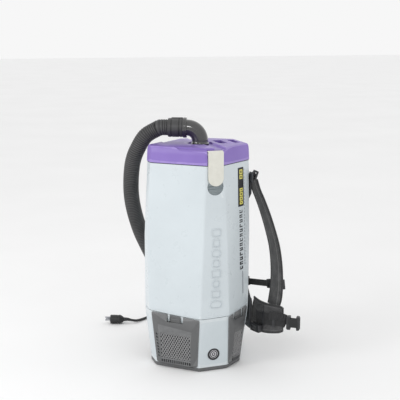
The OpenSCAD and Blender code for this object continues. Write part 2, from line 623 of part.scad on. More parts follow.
module hose_end_cuff() color("#3A3B3D") translate(HOSE_ROUTE[len(HOSE_ROUTE) - 1]) rotate([0, -90, 0])
    rotate([-1.3, 0, 0]) cylinder(r = hose_d / 2, h = 62, $fn = 64);

// ---- Power cord ----

module cord_gland() color("#1C1D1F") translate([gland_x, level(gland_z, 4), gland_z]) rotate([-90, 0, 0]) {
    translate([0, 0, -8]) cylinder(r = gland_bore_r - 0.1, h = 8, $fn = 48);
    cylinder(r = gland_bore_r + 3, h = 4, $fn = 48);
    cylinder(r1 = gland_bore_r, r2 = cord_d / 2 + 1.4, h = gland_len, $fn = 48);
}
cord_line = spline(concat([[gland_x, level(gland_z, 4) + gland_len, gland_z]], CORD_ROUTE, [PLUG_FROM]), 2);
module cord() color("#202124") sweep(round_outline(cord_d, 8), cord_line, [0, 0, 1], first = [0, 1, 0]);
plug_axis = PLUG_TO - PLUG_FROM;
module at_plug() translate(PLUG_FROM) rotate([0, 90, atan2(plug_axis[1], plug_axis[0])]) children();
module plug_body() color("#1B1C1E") at_plug() {
    cylinder(r1 = cord_d / 2 + 1, r2 = cord_d / 2 + 2, h = 16, $fn = 32);
    translate([0, 0, 14]) cylinder(r1 = 8, r2 = 15, h = 10, $fn = 48);
    translate([0, 0, 24]) cylinder(r = 15, h = norm(plug_axis) - 24, $fn = 48);
}
module plug_blades() color("#C8B98A") at_plug() translate([0, 0, norm(plug_axis)]) {
    for (s = [-1, 1]) translate([-3.2, s * 6.35 - 0.75, 0]) cube([6.4, 1.5, 17]);
    translate([7, 0, 0]) cylinder(r = 2.4, h = 19, $fn = 32);
}

// ---- Harness ----

module harness_plate() color("#303134") difference() {
    union() {
        translate([0, plate_y, 0]) rotate([90, 0, 180]) linear_extrude(plate_t)
            polygon([[-64, plate_foot], [64, plate_foot], [64, 196], [28, 240], [26, 480], [62, 516],
                [62, plate_top], [-62, plate_top], [-62, 516], [-26, 480], [-28, 240], [-64, 196]]);
        // Bosses that stand on the shell
        for (x = SCREW_X, z = SCREW_Z) translate([x, level(z, 4), z]) rotate([-90, 0, 0])
            cylinder(r = 7, h = plate_y - level(z, 4) + 1, $fn = 32);
        // Shoulder anchor loops
        for (s = [-1, 1]) translate([s * 62 - 12, plate_y, plate_top - 24]) cube([24, plate_t, 30]);
    }
    for (x = SCREW_X, z = SCREW_Z) translate([x, plate_y - 10, z]) rotate([-90, 0, 0])
        cylinder(r = 2.3, h = 20, $fn = 32);
}
module harness_screws() color("#A9ABAF") for (x = SCREW_X, z = SCREW_Z) translate([x, plate_y + plate_t, z]) {
    rotate([-90, 0, 0]) cylinder(r = 4.5, h = 2, $fn = 32);
    translate([0, -16, 0]) rotate([-90, 0, 0]) cylinder(r = 2, h = 17, $fn = 32);
}
module lumbar_pad() color("#4E4F52") translate([0, lumbar_y + lumbar_t / 2, belt_z + 2]) rotate([90, 0, 0])
    rounded_plate(112, wing_h - 4, lumbar_t, 14);
// Sideways direction of a shoulder strap, which turns its outer edge away from the body
function strap_side(s) = [cos(strap_twist), s * sin(strap_twist), 0];
module strap_pad(line, s) color("#56575A")
    sweep(strip_outline(pad_w, pad_t, 3), spline(line, 2), strap_side(s), grow = [0.62, 1]);
module strap_left() strap_pad(strap_left_line, -1);
module strap_right() strap_pad(strap_right_line, 1);
// Ladder-lock buckles above each shoulder pad and below it
module ladder_lock() difference() {
    rounded_plate(30, 26, 7, 4);
    for (y = [-5, 5]) translate([0, y, 0]) cube([22, 4, 20], center = true);
}
module strap_hardware() color("#1D1E20") for (line = [strap_left_line, strap_right_line]) {
    translate(line[0] + [0, 4, 14]) rotate([70, 0, 0]) ladder_lock();
    translate(line[len(line) - 1] + [0, -2, -20]) rotate([108, 0, 0]) ladder_lock();
}
// Webbing that lies on the outer face of a shoulder pad, with a loose end
module lifter_web(line, s) color("#2A2B2D") sweep(strip_outline(web_w, web_t, 0.4),
    spline([for (i = [1:4]) line[i] + [0, (pad_t / 2 + 2) + (i == 4 ? 6 : 0.6), 3]], 3), strap_side(s));
module lifter_web_left() lifter_web(strap_left_line, -1);
module lifter_web_right() lifter_web(strap_right_line, 1);
// The sternum strap's line runs from the right pad's outer face to the left one's
sternum_lift = [6, 10];
sternum_from = strap_right_line[7] + [0, pad_t / 2 + sternum_lift[0], -13];
sternum_to = strap_left_line[8] + [0, pad_t / 2 + sternum_lift[1], -13];
sternum_run = sternum_to - sternum_from;
sternum_l = norm(sternum_run);
module on_sternum() translate(sternum_from)
    rotate([0, -asin(sternum_run[2] / sternum_l), atan2(sternum_run[1], sternum_run[0])]) children();
module sternum_clips() color("#1D1E20") on_sternum() for (i = [0, 1]) translate([i * sternum_l, 0, 0]) difference() {
    block([-11, -11, -web_w / 2 - 5], [11, sternum_lift[i] + 1.5, web_w / 2 + 5]);
    block([-12, -web_t / 2 - gap, -web_w / 2 - gap], [12, web_t / 2 + gap, web_w / 2 + gap]);
}
module sternum_female() color("#232426") on_sternum() {
    block([-16, -web_t / 2, -web_w / 2], [31, web_t / 2, web_w / 2]);
    difference() {
        block([31, -5.5, -15], [57, 5.5, 15]);
        block([35, -3.3, -12], [58, 3.3, 12]);
    }
}
module sternum_male() color("#2C2D30") on_sternum() {
    block([39, -2.9, -11.6], [57.4, 2.9, 11.6]);
    block([57.4, -5.5, -14], [71, 5.5, 14]);
    block([71, -web_t / 2, -web_w / 2], [sternum_l - 6, web_t / 2, web_w / 2]);
}
module wing(line) color("#4C4D50") sweep(strip_outline(wing_h, wing_t, 3), spline(line, 3), [0, 0, 1], grow = [1, 0.8]);
module wing_left() wing(wing_left_line);
module wing_right() wing(wing_right_line);
// Waist webbing along a wing's outer face, past its tip
function wing_tip(line) = line[len(line) - 1] + unit(line[len(line) - 1] - line[len(line) - 2]) * 12;
function wing_outer(line, s) = [for (i = [1:len(line) - 1])
    let (t = unit(line[i] - line[i - 1])) line[i] + (wing_t / 2 + web_t / 2 + 0.1) * s * unit([t[1], -t[0], 0])];
module belt_web(line, s) color("#232427") sweep(strip_outline(belt_web_w, web_t, 0.4),
    spline(concat(wing_outer(line, s), [wing_tip(line)]), 3), [0, 0, 1]);
module belt_web_left() belt_web(wing_left_line, -1);
module belt_web_right() belt_web(wing_right_line, 1);
module at_wing_tip(line) {
    t = unit(line[len(line) - 1] - line[len(line) - 2]);
    translate(wing_tip(line) + [0, 0, -8]) rotate([0, 0, atan2(t[1], t[0])]) children();
}
module belt_buckles() color("#1B1C1E") {
    at_wing_tip(wing_left_line) block([0, -7, -belt_web_w / 2], [34, 7, belt_web_w / 2]);
    at_wing_tip(wing_right_line) difference() {
        block([0, -8, -belt_web_w / 2 - 2], [40, 8, belt_web_w / 2 + 2]);
        block([6, -4.5, -belt_web_w / 2 + 2], [41, 4.5, belt_web_w / 2 - 2]);
    }
}
// The on-off switch sits on the right wing's outer face
switch_at = wing_right_line[1] + [14, -9, -32];
module at_switch() translate(switch_at) rotate([0, 0, 18]) children();
module switch_box() color("#1E1F21") at_switch() difference() {
    block([-20, -14, -12], [20, 5, 12]);
    block([-11, -15, -7], [11, -5, 7]);
}
module switch_rocker() color("#8B2A2A") at_switch() translate([0, -10, 0]) rotate([90, 0, 90]) linear_extrude(20, center = true)
    polygon([[-4, -6], [3, -6], [0.5, 0], [3, 6], [-4, 6]]);

upper_shell();
base_housing();
base_rim();
badge_left();
badge_right();
label_left();
label_right();
vent_front_left();
vent_front_right();
vent_rear_left();
vent_rear_right();
foam_front_left();
foam_front_right();
foam_rear_left();
foam_rear_right();
motor_deck();
deck_gasket();
dome_filter();
fan_housing();
motor_can();
motor_mount();
brush_holders();
armature();
fan_rotor();
cloth_filter();
paper_bag();
bag_collar();
lid();
lid_gasket();
carry_handle();
latch_pins();
latch_left();
latch_right();
elbow_retainer();
elbow();
hose_cuff();
hose();
hose_end_cuff();
cord_gland();
cord();
plug_body();
plug_blades();
harness_plate();
harness_screws();
lumbar_pad();
strap_left();
strap_right();
strap_hardware();
lifter_web_left();
lifter_web_right();
sternum_clips();
sternum_female();
sternum_male();
wing_left();
wing_right();
belt_web_left();
belt_web_right();
belt_buckles();
switch_box();
switch_rocker();
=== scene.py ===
"""Looks of a backpack vacuum cleaner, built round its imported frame.

Lengths are in millimetres until a mesh is made, +Z is up, the outer face looks along -Y and the
wearer stands on the +Y side.
"""

from __future__ import annotations

import json
import logging
from dataclasses import dataclass, field
from enum import Enum
from math import atan, atan2, cos, exp, pi, radians, sin, sqrt, tau
from typing import Callable, Optional, Sequence

import bmesh
import bpy
from mathutils import Matrix, Vector, noise

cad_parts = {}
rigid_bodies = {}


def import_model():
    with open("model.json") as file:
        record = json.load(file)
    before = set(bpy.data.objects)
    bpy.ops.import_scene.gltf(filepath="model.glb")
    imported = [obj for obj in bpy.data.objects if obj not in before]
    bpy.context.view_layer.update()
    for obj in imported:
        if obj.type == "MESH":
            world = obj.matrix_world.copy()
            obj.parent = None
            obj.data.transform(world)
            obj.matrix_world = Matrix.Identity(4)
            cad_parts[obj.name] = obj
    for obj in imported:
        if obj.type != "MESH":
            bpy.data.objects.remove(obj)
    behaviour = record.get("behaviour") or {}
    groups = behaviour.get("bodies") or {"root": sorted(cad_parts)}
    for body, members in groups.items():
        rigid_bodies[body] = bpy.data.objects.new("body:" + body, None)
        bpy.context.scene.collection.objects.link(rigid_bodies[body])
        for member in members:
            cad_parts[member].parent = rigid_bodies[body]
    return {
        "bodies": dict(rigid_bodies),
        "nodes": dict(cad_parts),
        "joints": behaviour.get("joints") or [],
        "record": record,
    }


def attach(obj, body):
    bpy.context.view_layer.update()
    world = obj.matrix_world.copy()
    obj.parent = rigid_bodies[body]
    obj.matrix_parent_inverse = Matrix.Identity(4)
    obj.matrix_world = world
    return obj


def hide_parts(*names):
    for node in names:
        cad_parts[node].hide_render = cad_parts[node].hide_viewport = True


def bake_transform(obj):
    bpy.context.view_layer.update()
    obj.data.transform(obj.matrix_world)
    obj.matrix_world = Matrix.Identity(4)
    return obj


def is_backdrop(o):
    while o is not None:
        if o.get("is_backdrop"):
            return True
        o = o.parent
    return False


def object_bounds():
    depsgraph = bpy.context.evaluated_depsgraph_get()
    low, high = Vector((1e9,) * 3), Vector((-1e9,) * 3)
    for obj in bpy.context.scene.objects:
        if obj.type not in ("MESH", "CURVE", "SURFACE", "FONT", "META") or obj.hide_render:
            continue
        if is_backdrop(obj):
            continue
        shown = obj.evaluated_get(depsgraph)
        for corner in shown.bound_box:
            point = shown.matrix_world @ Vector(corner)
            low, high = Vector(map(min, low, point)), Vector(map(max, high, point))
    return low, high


LOG = logging.getLogger("backpack_vacuum")
MM = 0.001
Point = Sequence[float]
Line = Sequence[Vector]
Pair = tuple[float, float]
Rows = tuple[tuple[float, ...], ...]
Outline = list[Pair]
Thing = bpy.types.Object
Socket = bpy.types.NodeSocket
Material = bpy.types.Material
UP = Vector((0, 0, 1))
CREASE = 32.0  # degrees above which a moulded edge stays hard
Z_TO_RIGHT = Matrix.Rotation(pi / 2, 4, "Y")
Z_TO_FRONT = Matrix.Rotation(pi / 2, 4, "X")
Z_TO_BACK = Matrix.Rotation(-pi / 2, 4, "X")


class Side(Enum):
    """The two mirrored sides of the machine."""

    LEFT = -1
    RIGHT = 1

    @property
    def label(self) -> str:
        """The side's word in piece and node names."""
        return self.name.lower()


class Corner(Enum):
    """The front and rear corner faces of the body, which carry the vents."""

    FRONT = "front"
    REAR = "rear"


# ---- Mesh making ----


def mix(a: float, b: float, t: float) -> float:
    """Gives the value a share t of the way from a to b."""
    return a + (b - a) * t


def smooth(t: float) -> float:
    """Eases a share between 0 and 1."""
    t = min(max(t, 0.0), 1.0)
    return t * t * (3 - 2 * t)


def table(x: float, rows: Sequence[Pair]) -> float:
    """Reads a value from rows of (place, value), straight between rows and flat past the ends.

    Args:
        x: The place to read at.
        rows: Rising places with their values.

    Returns:
        The value at x.
    """
    if x <= rows[0][0]:
        return rows[0][1]
    for (x0, y0), (x1, y1) in zip(rows, rows[1:]):
        if x <= x1:
            return mix(y0, y1, (x - x0) / (x1 - x0))
    return rows[-1][1]


class MeshMaker:
    """Collects vertices, faces and mapping lengths in millimetres and makes objects of them."""

    def __init__(self) -> None:
        """Starts an empty mesh."""
        self.verts: list[Vector] = []
        self.faces: list[list[int]] = []
        self.maps: list[list[Pair]] = []

    def add(self, verts: Line, faces: Sequence[Sequence[int]],
            maps: Optional[Sequence[Sequence[Pair]]] = None) -> None:
        """Adds a part of the mesh.

        Args:
            verts: Places.
            faces: Corners of each face, counted within verts.
            maps: Mapping coordinates of each face's corners,.
        """
        start = len(self.verts)
        self.verts.extend(Vector(v) for v in verts)
        for i, face in enumerate(faces):
            self.faces.append([start + k for k in face])
            self.maps.append(list(maps[i]) if maps else [(0.0, 0.0)] * len(face))

    def build(self, name: str, crease: float = CREASE) -> Thing:
        """Makes the object, with edges sharper than the crease angle left hard.

        Args:
            name: The piece's name.
            crease: Degrees above which an edge stays sharp.

        Returns:
            The new object.
        """
        mesh = bpy.data.meshes.new(name)
        mesh.from_pydata([v * MM for v in self.verts], [], self.faces)
        layer = mesh.uv_layers.new(name="lengths")
        corner = 0
        for uvs in self.maps:
            for u, v in uvs:
                layer.data[corner].uv = (u * MM, v * MM)
                corner += 1
        mesh.validate()
        piece = bpy.data.objects.new(name, mesh)
        bpy.context.scene.collection.objects.link(piece)
        soften(piece, crease)
        return piece


def soften(piece: Thing, crease: float = CREASE) -> None:
    """Shades a piece smooth, keeps edges sharper than the crease hard and mends face directions.

    Args:
        piece: The mesh object.
        crease: Degrees above which an edge stays sharp.
    """
    bm = bmesh.new()
    bm.from_mesh(piece.data)
    bmesh.ops.remove_doubles(bm, verts=bm.verts, dist=0.00001)
    bmesh.ops.recalc_face_normals(bm, faces=bm.faces)
    for face in bm.faces:
        face.smooth = True
    limit = radians(crease)
    for edge in bm.edges:
        edge.smooth = len(edge.link_faces) == 2 and edge.calc_face_angle(0.0) < limit
    bm.to_mesh(piece.data)
    bm.free()


def apply_modifiers(piece: Thing) -> None:
    """Turns a piece's modifiers into mesh."""
    graph = bpy.context.evaluated_depsgraph_get()
    mesh = bpy.data.meshes.new_from_object(piece.evaluated_get(graph))
    old = piece.data
    piece.modifiers.clear()
    piece.data = mesh
    bpy.data.meshes.remove(old)


def combine(piece: Thing, tools: Sequence[Thing], how: str) -> None:
    """Cuts, joins or crosses a piece with tool objects, which are used up.

    Args:
        piece: The solid that is kept.
        tools: Closed solids.
        how: DIFFERENCE, UNION or INTERSECT.
    """
    for tool in tools:
        cut = piece.modifiers.new("cut", "BOOLEAN")
        cut.operation = how
        cut.solver = "EXACT"
        cut.object = tool
        apply_modifiers(piece)
        bpy.data.objects.remove(tool)


def round_edges(piece: Thing, width: float, steps: int = 2, angle: float = 34.0) -> None:
    """Rounds the sharp edges of a piece.

    Args:
        piece: The mesh object.
        width: Size of the rounding.
        steps: Segments across the rounding.
        angle: Only edges sharper than this many degrees are rounded.
    """
    bevel = piece.modifiers.new("edges", "BEVEL")
    bevel.width = width * MM
    bevel.segments = steps
    bevel.limit_method = "ANGLE"
    bevel.angle_limit = radians(angle)
    bevel.use_clamp_overlap = True
    apply_modifiers(piece)
    soften(piece, 38.0)


def join(name: str, pieces: Sequence[Thing]) -> Thing:
    """Joins meshes that touch or stand apart into one object without merging them.

    Args:
        name: Name of the joined piece.
        pieces: Objects to join, which are used up.

    Returns:
        The joined object.
    """
    bm = bmesh.new()
    mesh = bpy.data.meshes.new(name)
    for piece in pieces:
        for material in piece.data.materials:
            if material.name not in mesh.materials:
                mesh.materials.append(material)
        before = len(bm.faces)
        bm.from_mesh(piece.data)
        bm.faces.ensure_lookup_table()
        for face in bm.faces[before:]:
            if piece.data.materials:
                worn = piece.data.materials[face.material_index]
                face.material_index = mesh.materials.find(worn.name)
        bpy.data.objects.remove(piece)
    bm.to_mesh(mesh)
    bm.free()
    joined = bpy.data.objects.new(name, mesh)
    bpy.context.scene.collection.objects.link(joined)
    return joined


def cut(piece: Thing, *tools: Thing) -> None:
    """Cuts closed solids, which are used up, out of a piece."""
    combine(piece, tools, "DIFFERENCE")


def length_of(line: Line) -> float:
    """Gives the length of a line of points in millimetres."""
    return sum((b - a).length for a, b in zip(line, line[1:]))


def skin(rings: Sequence[Line], closed: bool = True, caps: bool = True) -> tuple:
    """Stacks rings of points into a skin.

    Args:
        rings: Rings with the same number of points.
        closed: Whether each ring closes on itself.
        caps: Whether the first and last ring are filled.

    Returns:
        Vertices, faces and mapping lengths.
    """
    n = len(rings[0])
    verts = [p for ring in rings for p in ring]
    around = [0.0]
    for j in range(n):
        around.append(around[-1] + (rings[0][(j + 1) % n] - rings[0][j]).length)
    along = [0.0]
    for a, b in zip(rings, rings[1:]):
        along.append(along[-1] + sum((q - p).length for p, q in zip(a, b)) / n)
    faces, maps = [], []
    for m in range(len(rings) - 1):
        for j in range(n if closed else n - 1):
            k = (j + 1) % n
            faces.append([m * n + j, m * n + k, (m + 1) * n + k, (m + 1) * n + j])
            maps.append([(around[j], along[m]), (around[j + 1], along[m]),
                (around[j + 1], along[m + 1]), (around[j], along[m + 1])])
    if caps:
        faces.append(list(range(n))[::-1])
        maps.append([(0.0, 0.0)] * n)
        faces.append([(len(rings) - 1) * n + j for j in range(n)])
        maps.append([(0.0, 0.0)] * n)
    return verts, faces, maps


def spline(points: Sequence[Point], step: float) -> list[Vector]:
    """Draws a smooth line through points.

    Args:
        points: Places.
        step: Rough spacing of the new points.

    Returns:
        Points along the line.
    """
    p = [Vector(q) for q in points]
    line: list[Vector] = []
    for i in range(len(p) - 1):
        a, b, c, d = p[max(i - 1, 0)], p[i], p[i + 1], p[min(i + 2, len(p) - 1)]
        count = max(int((c - b).length / step), 1)
        for k in range(count):
            t = k / count
            line.append(0.5 * (2 * b + (c - a) * t + (2 * a - 5 * b + 4 * c - d) * t * t
                + (3 * b - a - 3 * c + d) * t ** 3))
    line.append(p[-1])
    return line


def carried(line: Line, side: Vector) -> list[tuple[Vector, Vector, Vector]]:
    """Carries a sideways direction along a line without twist.

    Args:
        line: The points of the line.
        side: The wanted sideways direction at its start.

    Returns:
        Direction, sideways and upward vectors at each point.
    """
    frames = []
    for i in range(len(line)):
        t = (line[min(i + 1, len(line) - 1)] - line[max(i - 1, 0)]).normalized()
        side = (side - side.dot(t) * t).normalized()
        frames.append((t, side, t.cross(side)))
    return frames


def sweep(line: Line, side: Vector, outline: Callable[[float, float], Outline],
        caps: bool = True) -> tuple:
    """Sweeps an outline that may change along a line.

    Args:
        line: The points of the line.
        side: The wanted sideways direction at its start.
        outline: Gives the outline for a share of the length and a length.
        caps: Whether the ends are filled.

    Returns:
        Vertices, faces and mapping lengths.
    """
    total = length_of(line)
    rings, far = [], 0.0
    for i, (place, (_, across, up)) in enumerate(zip(line, carried(line, side))):
        if i:
            far += (place - line[i - 1]).length
        rings.append([place + a * across + b * up for a, b in outline(far / total, far)])
    return skin(rings, caps=caps)


def made(name: str, *skins: tuple, crease: float = CREASE) -> Thing:
    """Makes one object of skins.

    Args:
        name: The object's name.
        skins: Vertices, faces and mapping lengths of each skin.
        crease: Degrees above which an edge stays sharp.

    Returns:
        The new object.
    """
    maker = MeshMaker()
    for part in skins:
        maker.add(*part)
    return maker.build(name, crease)


def circle(radius: float, sides: int) -> Outline:
    """Gives a round outline."""
    return [(radius * cos(tau * k / sides), radius * sin(tau * k / sides)) for k in range(sides)]


def rounded_rectangle(w: float, h: float, r: float, steps: int = 5) -> Outline:
    """Gives a rectangle with round corners, counter-clockwise and centred.

    Args:
        w: Width.
        h: Height.
        r: Corner radius.
        steps: Segments in each corner.

    Returns:
        Points of the outline.
    """
    points: Outline = []
    for cx, cy, start in ((1, -1, -90), (1, 1, 0), (-1, 1, 90), (-1, -1, 180)):
        for k in range(steps + 1):
            a = radians(start + 90 * k / steps)
            points.append((cx * (w / 2 - r) + r * cos(a), cy * (h / 2 - r) + r * sin(a)))
    return points


def latch_outline(half: float, foot: float, top: float) -> Outline:
    """Draws a plate with a half-round foot, seen along the sideways axis.

    Args:
        half: Half of the plate's width.
        foot: Height of its foot.
        top: Height of its top.

    Returns:
        The outline in downward and depth coordinates, for a slab turned about Y.
    """
    arc = [pi * k / 32 for k in range(33)]
    return [(-(foot + half - half * sin(t)), -half * cos(t)) for t in arc] + [(-top, half),
        (-top, -half)]


def slab(name: str, outline: Outline, low: float, high: float, place: Matrix = Matrix(),
        edge: float = 0.0) -> Thing:
    """Makes a flat solid from an outline.

    Args:
        name: Name of the object.
        outline: The outline in the local X and Y.
        low: Lower local height.
        high: Upper local height.
        place: Takes local millimetres to the part's frame.
        edge: Size of the edge rounding.

    Returns:
        The new object.
    """
    piece = made(name, skin([[Vector((x, y, z)) for x, y in outline] for z in (low, high)]))
    if edge:
        round_edges(piece, edge, angle=30.0)
    move_mesh(piece, place)
    return piece


def move_mesh(piece: Thing, place: Matrix) -> None:
    """Moves the vertices of a mesh by a matrix that works in millimetres."""
    scaled = place.copy()
    scaled.translation = place.translation * MM
    piece.data.transform(scaled)
    if scaled.determinant() < 0:
        piece.data.flip_normals()


def box(name: str, low: Point, high: Point, place: Matrix = Matrix(), edge: float = 0.0) -> Thing:
    """Makes a block between two corners, with rounded edges where asked."""
    outline = [(low[0], low[1]), (high[0], low[1]), (high[0], high[1]), (low[0], high[1])]
    return slab(name, outline, low[2], high[2], place, edge)


def turned(name: str, profile: Outline, place: Matrix = Matrix(), sides: int = 64,
        crease: float = CREASE) -> Thing:
    """Turns a closed profile of (radius, height) round the local Z axis.

    Args:
        name: Name of the object.
        profile: Points of the profile; a radius of zero lies on the axis.
        place: Takes local millimetres to the part's frame.
        sides: Segments round the axis.
        crease: Degrees above which an edge stays sharp.

    Returns:
        The new object.
    """
    rings = [[Vector((r * c, r * s, z)) for r, z in profile] for c, s in circle(1, sides)]
    piece = made(name, skin(rings + rings[:1], caps=False), crease=crease)
    move_mesh(piece, place)
    return piece


def frame_at(origin: Point, x_axis: Point, z_axis: Point) -> Matrix:
    """Builds a local frame in millimetres.

    Args:
        origin: Where the frame sits.
        x_axis: Direction of its X axis.
        z_axis: Rough direction of its Z axis.

    Returns:
        The matrix from local to part coordinates.
    """
    x = Vector(x_axis).normalized()
    y = Vector(z_axis).cross(x).normalized()
    z = x.cross(y)
    matrix = Matrix((x, y, z)).transposed().to_4x4()
    matrix.translation = Vector(origin)
    return matrix


MIRROR = Matrix.Diagonal((-1, 1, 1, 1))


def on_side(side: Side) -> Matrix:
    """Gives the matrix that takes a right-side shape to a side."""
    return MIRROR if side is Side.LEFT else Matrix()


def tipped(degrees: float, axis: str = "X") -> Matrix:
    """Gives the matrix that turns by an angle about an axis."""
    return Matrix.Rotation(radians(degrees), 4, axis)


def moved(x: float, y: float, z: float) -> Matrix:
    """Gives the matrix that moves by lengths in millimetres."""
    return Matrix.Translation((x, y, z))


# ---- Finishes ----


def linear(code: str) -> tuple[float, float, float, float]:
    """Turns an sRGB hex colour into linear red, green, blue and alpha."""
    def channel(value: float) -> float:
        return value / 12.92 if value <= 0.04045 else ((value + 0.055) / 1.055) ** 2.4
    return tuple(channel(int(code[i:i + 2], 16) / 255) for i in (1, 3, 5)) + (1.0,)


class NodeSheet:
    """A material's node tree with one helper that adds a node, its settings and its links."""

    def __init__(self, name: str) -> None:
        """Starts a material with only its output and its principled shader."""
        self.material = bpy.data.materials.new(name)
        self.material.use_nodes = True
        self.tree = self.material.node_tree
        self.tree.nodes.clear()
        self.surface = self.add("ShaderNodeBsdfPrincipled")
        output = self.add("ShaderNodeOutputMaterial")
        self.tree.links.new(self.surface.outputs[0], output.inputs["Surface"])
        # The part's own coordinates in metres
        self.place = self.add("ShaderNodeTexCoord").outputs["Object"]

    def add(self, kind: str, settings: Optional[dict] = None,
            inputs: Optional[dict] = None) -> bpy.types.Node:
        """Adds a node.

        Args:
            kind: Blender's name of the node type.
            settings: Attributes of the node.
            inputs: Values or output sockets for its inputs, by name or index.

        Returns:
            The node.
        """
        node = self.tree.nodes.new(kind)
        for key, value in (settings or {}).items():
            setattr(node, key, value)
        for key, value in (inputs or {}).items():
            if isinstance(value, Socket):
                self.tree.links.new(value, node.inputs[key])
            else:
                node.inputs[key].default_value = value
        return node

    def ramp(self, value: Socket, stops: Sequence[tuple[float, str]]) -> Socket:
        """Maps a value to colours.

        Args:
            value: The socket to map.
            stops: Places with sRGB hex colours.

        Returns:
            The colour socket.
        """
        node = self.add("ShaderNodeValToRGB", inputs={"Fac": value})
        elements = node.color_ramp.elements
        while len(elements) < len(stops):
            elements.new(0.5)
        for element, (place, code) in zip(elements, stops):
            element.position = place
            element.color = linear(code)
        return node.outputs["Color"]

    def math(self, operation: str, a: object, b: object = 0.0, c: object = 0.0) -> Socket:
        """Adds arithmetic on values or sockets and gives its result."""
        return self.add("ShaderNodeMath", {"operation": operation}, {0: a, 1: b, 2: c}).outputs[0]

    def lengths(self) -> Socket:
        """Gives the piece's mapped lengths in metres, split into across, along and none."""
        mapped = self.add("ShaderNodeTexCoord").outputs["UV"]
        return self.add("ShaderNodeSeparateXYZ", inputs={0: mapped}).outputs

    def spread(self, value: Socket, low: float, high: float, to_low: float = 0.0,
            to_high: float = 1.0) -> Socket:
        """Maps a value between low and high to between two others, clamped."""
        return self.add("ShaderNodeMapRange", inputs={"Value": value, "From Min": low,
            "From Max": high, "To Min": to_low, "To Max": to_high}).outputs[0]

    def overlay(self, share: Socket, base: Socket, code: str) -> Socket:
        """Lays an sRGB hex colour over a colour by a share."""
        return self.add("ShaderNodeMix", {"data_type": "RGBA"},
            {"Factor": share, 6: base, 7: linear(code)}).outputs[2]

    def noise(self, size_mm: float, detail: float = 3.0, roughness: float = 0.5,
            place: Optional[Socket] = None) -> Socket:
        """Adds a noise of a real feature size in millimetres and gives its value."""
        return self.add("ShaderNodeTexNoise",
            inputs={"Vector": self.place if place is None else place, "Scale": 1 / (size_mm * MM),
            "Detail": detail, "Roughness": roughness}).outputs["Fac"]

    def bump(self, height: Socket, depth_mm: float, strength: float = 1.0,
            over: Optional[Socket] = None) -> Socket:
        """Adds relief of a depth in millimetres, over an earlier relief if given."""
        inputs = {"Height": height, "Distance": depth_mm * MM, "Strength": strength}
        if over is not None:
            inputs["Normal"] = over
        return self.add("ShaderNodeBump", inputs=inputs).outputs["Normal"]

    def finish(self, **values: object) -> Material:
        """Sets the surface's inputs, with underscores for spaces, and gives the material."""
        for key, value in values.items():
            name = key.replace("_", " ")
            if isinstance(value, Socket):
                self.tree.links.new(value, self.surface.inputs[name])
            else:
                self.surface.inputs[name].default_value = value
        return self.material


@dataclass(frozen=True)
class MouldedPlastic:
    """Injection-moulded ABS or polypropylene: fine grain, soft gloss, rubbed edges."""

    name: str
    colour: str
    deep: str
    worn: str
    roughness: float = 0.42
    grain_mm: float = 0.9
    grain_depth_mm: float = 0.05
    coat: float = 0.0

    def make(self) -> Material:
        """Makes the material.

        Returns:
            The material, with drifted colour, handling marks and edge wear.
        """
        sheet = NodeSheet(self.name)
        drift = sheet.noise(160, 4, 0.55)
        base = sheet.ramp(drift, [(0.35, self.deep), (0.62, self.colour)])
        # Convex edges rub pale where hands and doorways touch them
        edge = sheet.add("ShaderNodeNewGeometry").outputs["Pointiness"]
        rub = sheet.math("MULTIPLY", sheet.math("GREATER_THAN", edge, 0.53),
            sheet.noise(14, 5, 0.7))
        colour = sheet.overlay(rub, base, self.worn)
        marks = sheet.noise(38, 6, 0.68)
        rough = sheet.spread(marks, 0.3, 0.75, self.roughness - 0.06, self.roughness + 0.09)
        # The moulding grain is a quarter of this size; it is drawn coarser so that it shows
        grain = sheet.bump(sheet.noise(self.grain_mm, 2, 0.5), self.grain_depth_mm, 0.35)
        wave = sheet.bump(sheet.noise(70, 2, 0.4), 0.35, 0.10, grain)
        return sheet.finish(Base_Color=colour, Roughness=rough, Normal=wave, IOR=1.5,
            Coat_Weight=self.coat, Coat_Roughness=0.12)


@dataclass(frozen=True)
class PolishedPlastic:
    """Gloss-moulded elbow plastic: dark, wet-looking, with fine swirls from wiping."""

    name: str
    colour: str
    deep: str
    roughness: float = 0.16

    def make(self) -> Material:
        """Makes the material."""
        sheet = NodeSheet(self.name)
        base = sheet.ramp(sheet.noise(60, 4), [(0.3, self.deep), (0.7, self.colour)])
        swirl = sheet.noise(6, 6, 0.75)
        rough = sheet.spread(swirl, 0.3, 0.7, self.roughness, self.roughness + 0.12)
        relief = sheet.bump(sheet.noise(30, 2), 0.3, 0.12)
        return sheet.finish(Base_Color=base, Roughness=rough, Normal=relief, IOR=1.6,
            Coat_Weight=0.9, Coat_Roughness=0.04)


@dataclass(frozen=True)
class HoseVinyl:
    """Extruded spiral hose vinyl: dull between its ribs, rubbed to a soft shine on their crests."""

    name: str
    colour: str
    crest: str

    def make(self) -> Material:
        """Makes the material."""
        sheet = NodeSheet(self.name)
        edge = sheet.add("ShaderNodeNewGeometry").outputs["Pointiness"]
        crest = sheet.spread(edge, 0.47, 0.56)
        dust = sheet.noise(45, 5, 0.6)
        amount = sheet.math("MULTIPLY", crest, sheet.math("ADD", dust, 0.35))
        base = sheet.ramp(amount, [(0.15, self.colour), (0.95, self.crest)])
        rough = sheet.spread(amount, 0, 1, 0.62, 0.38)
        relief = sheet.bump(sheet.noise(0.8, 2), 0.05, 0.3)
        return sheet.finish(Base_Color=base, Roughness=rough, Normal=relief, IOR=1.5)


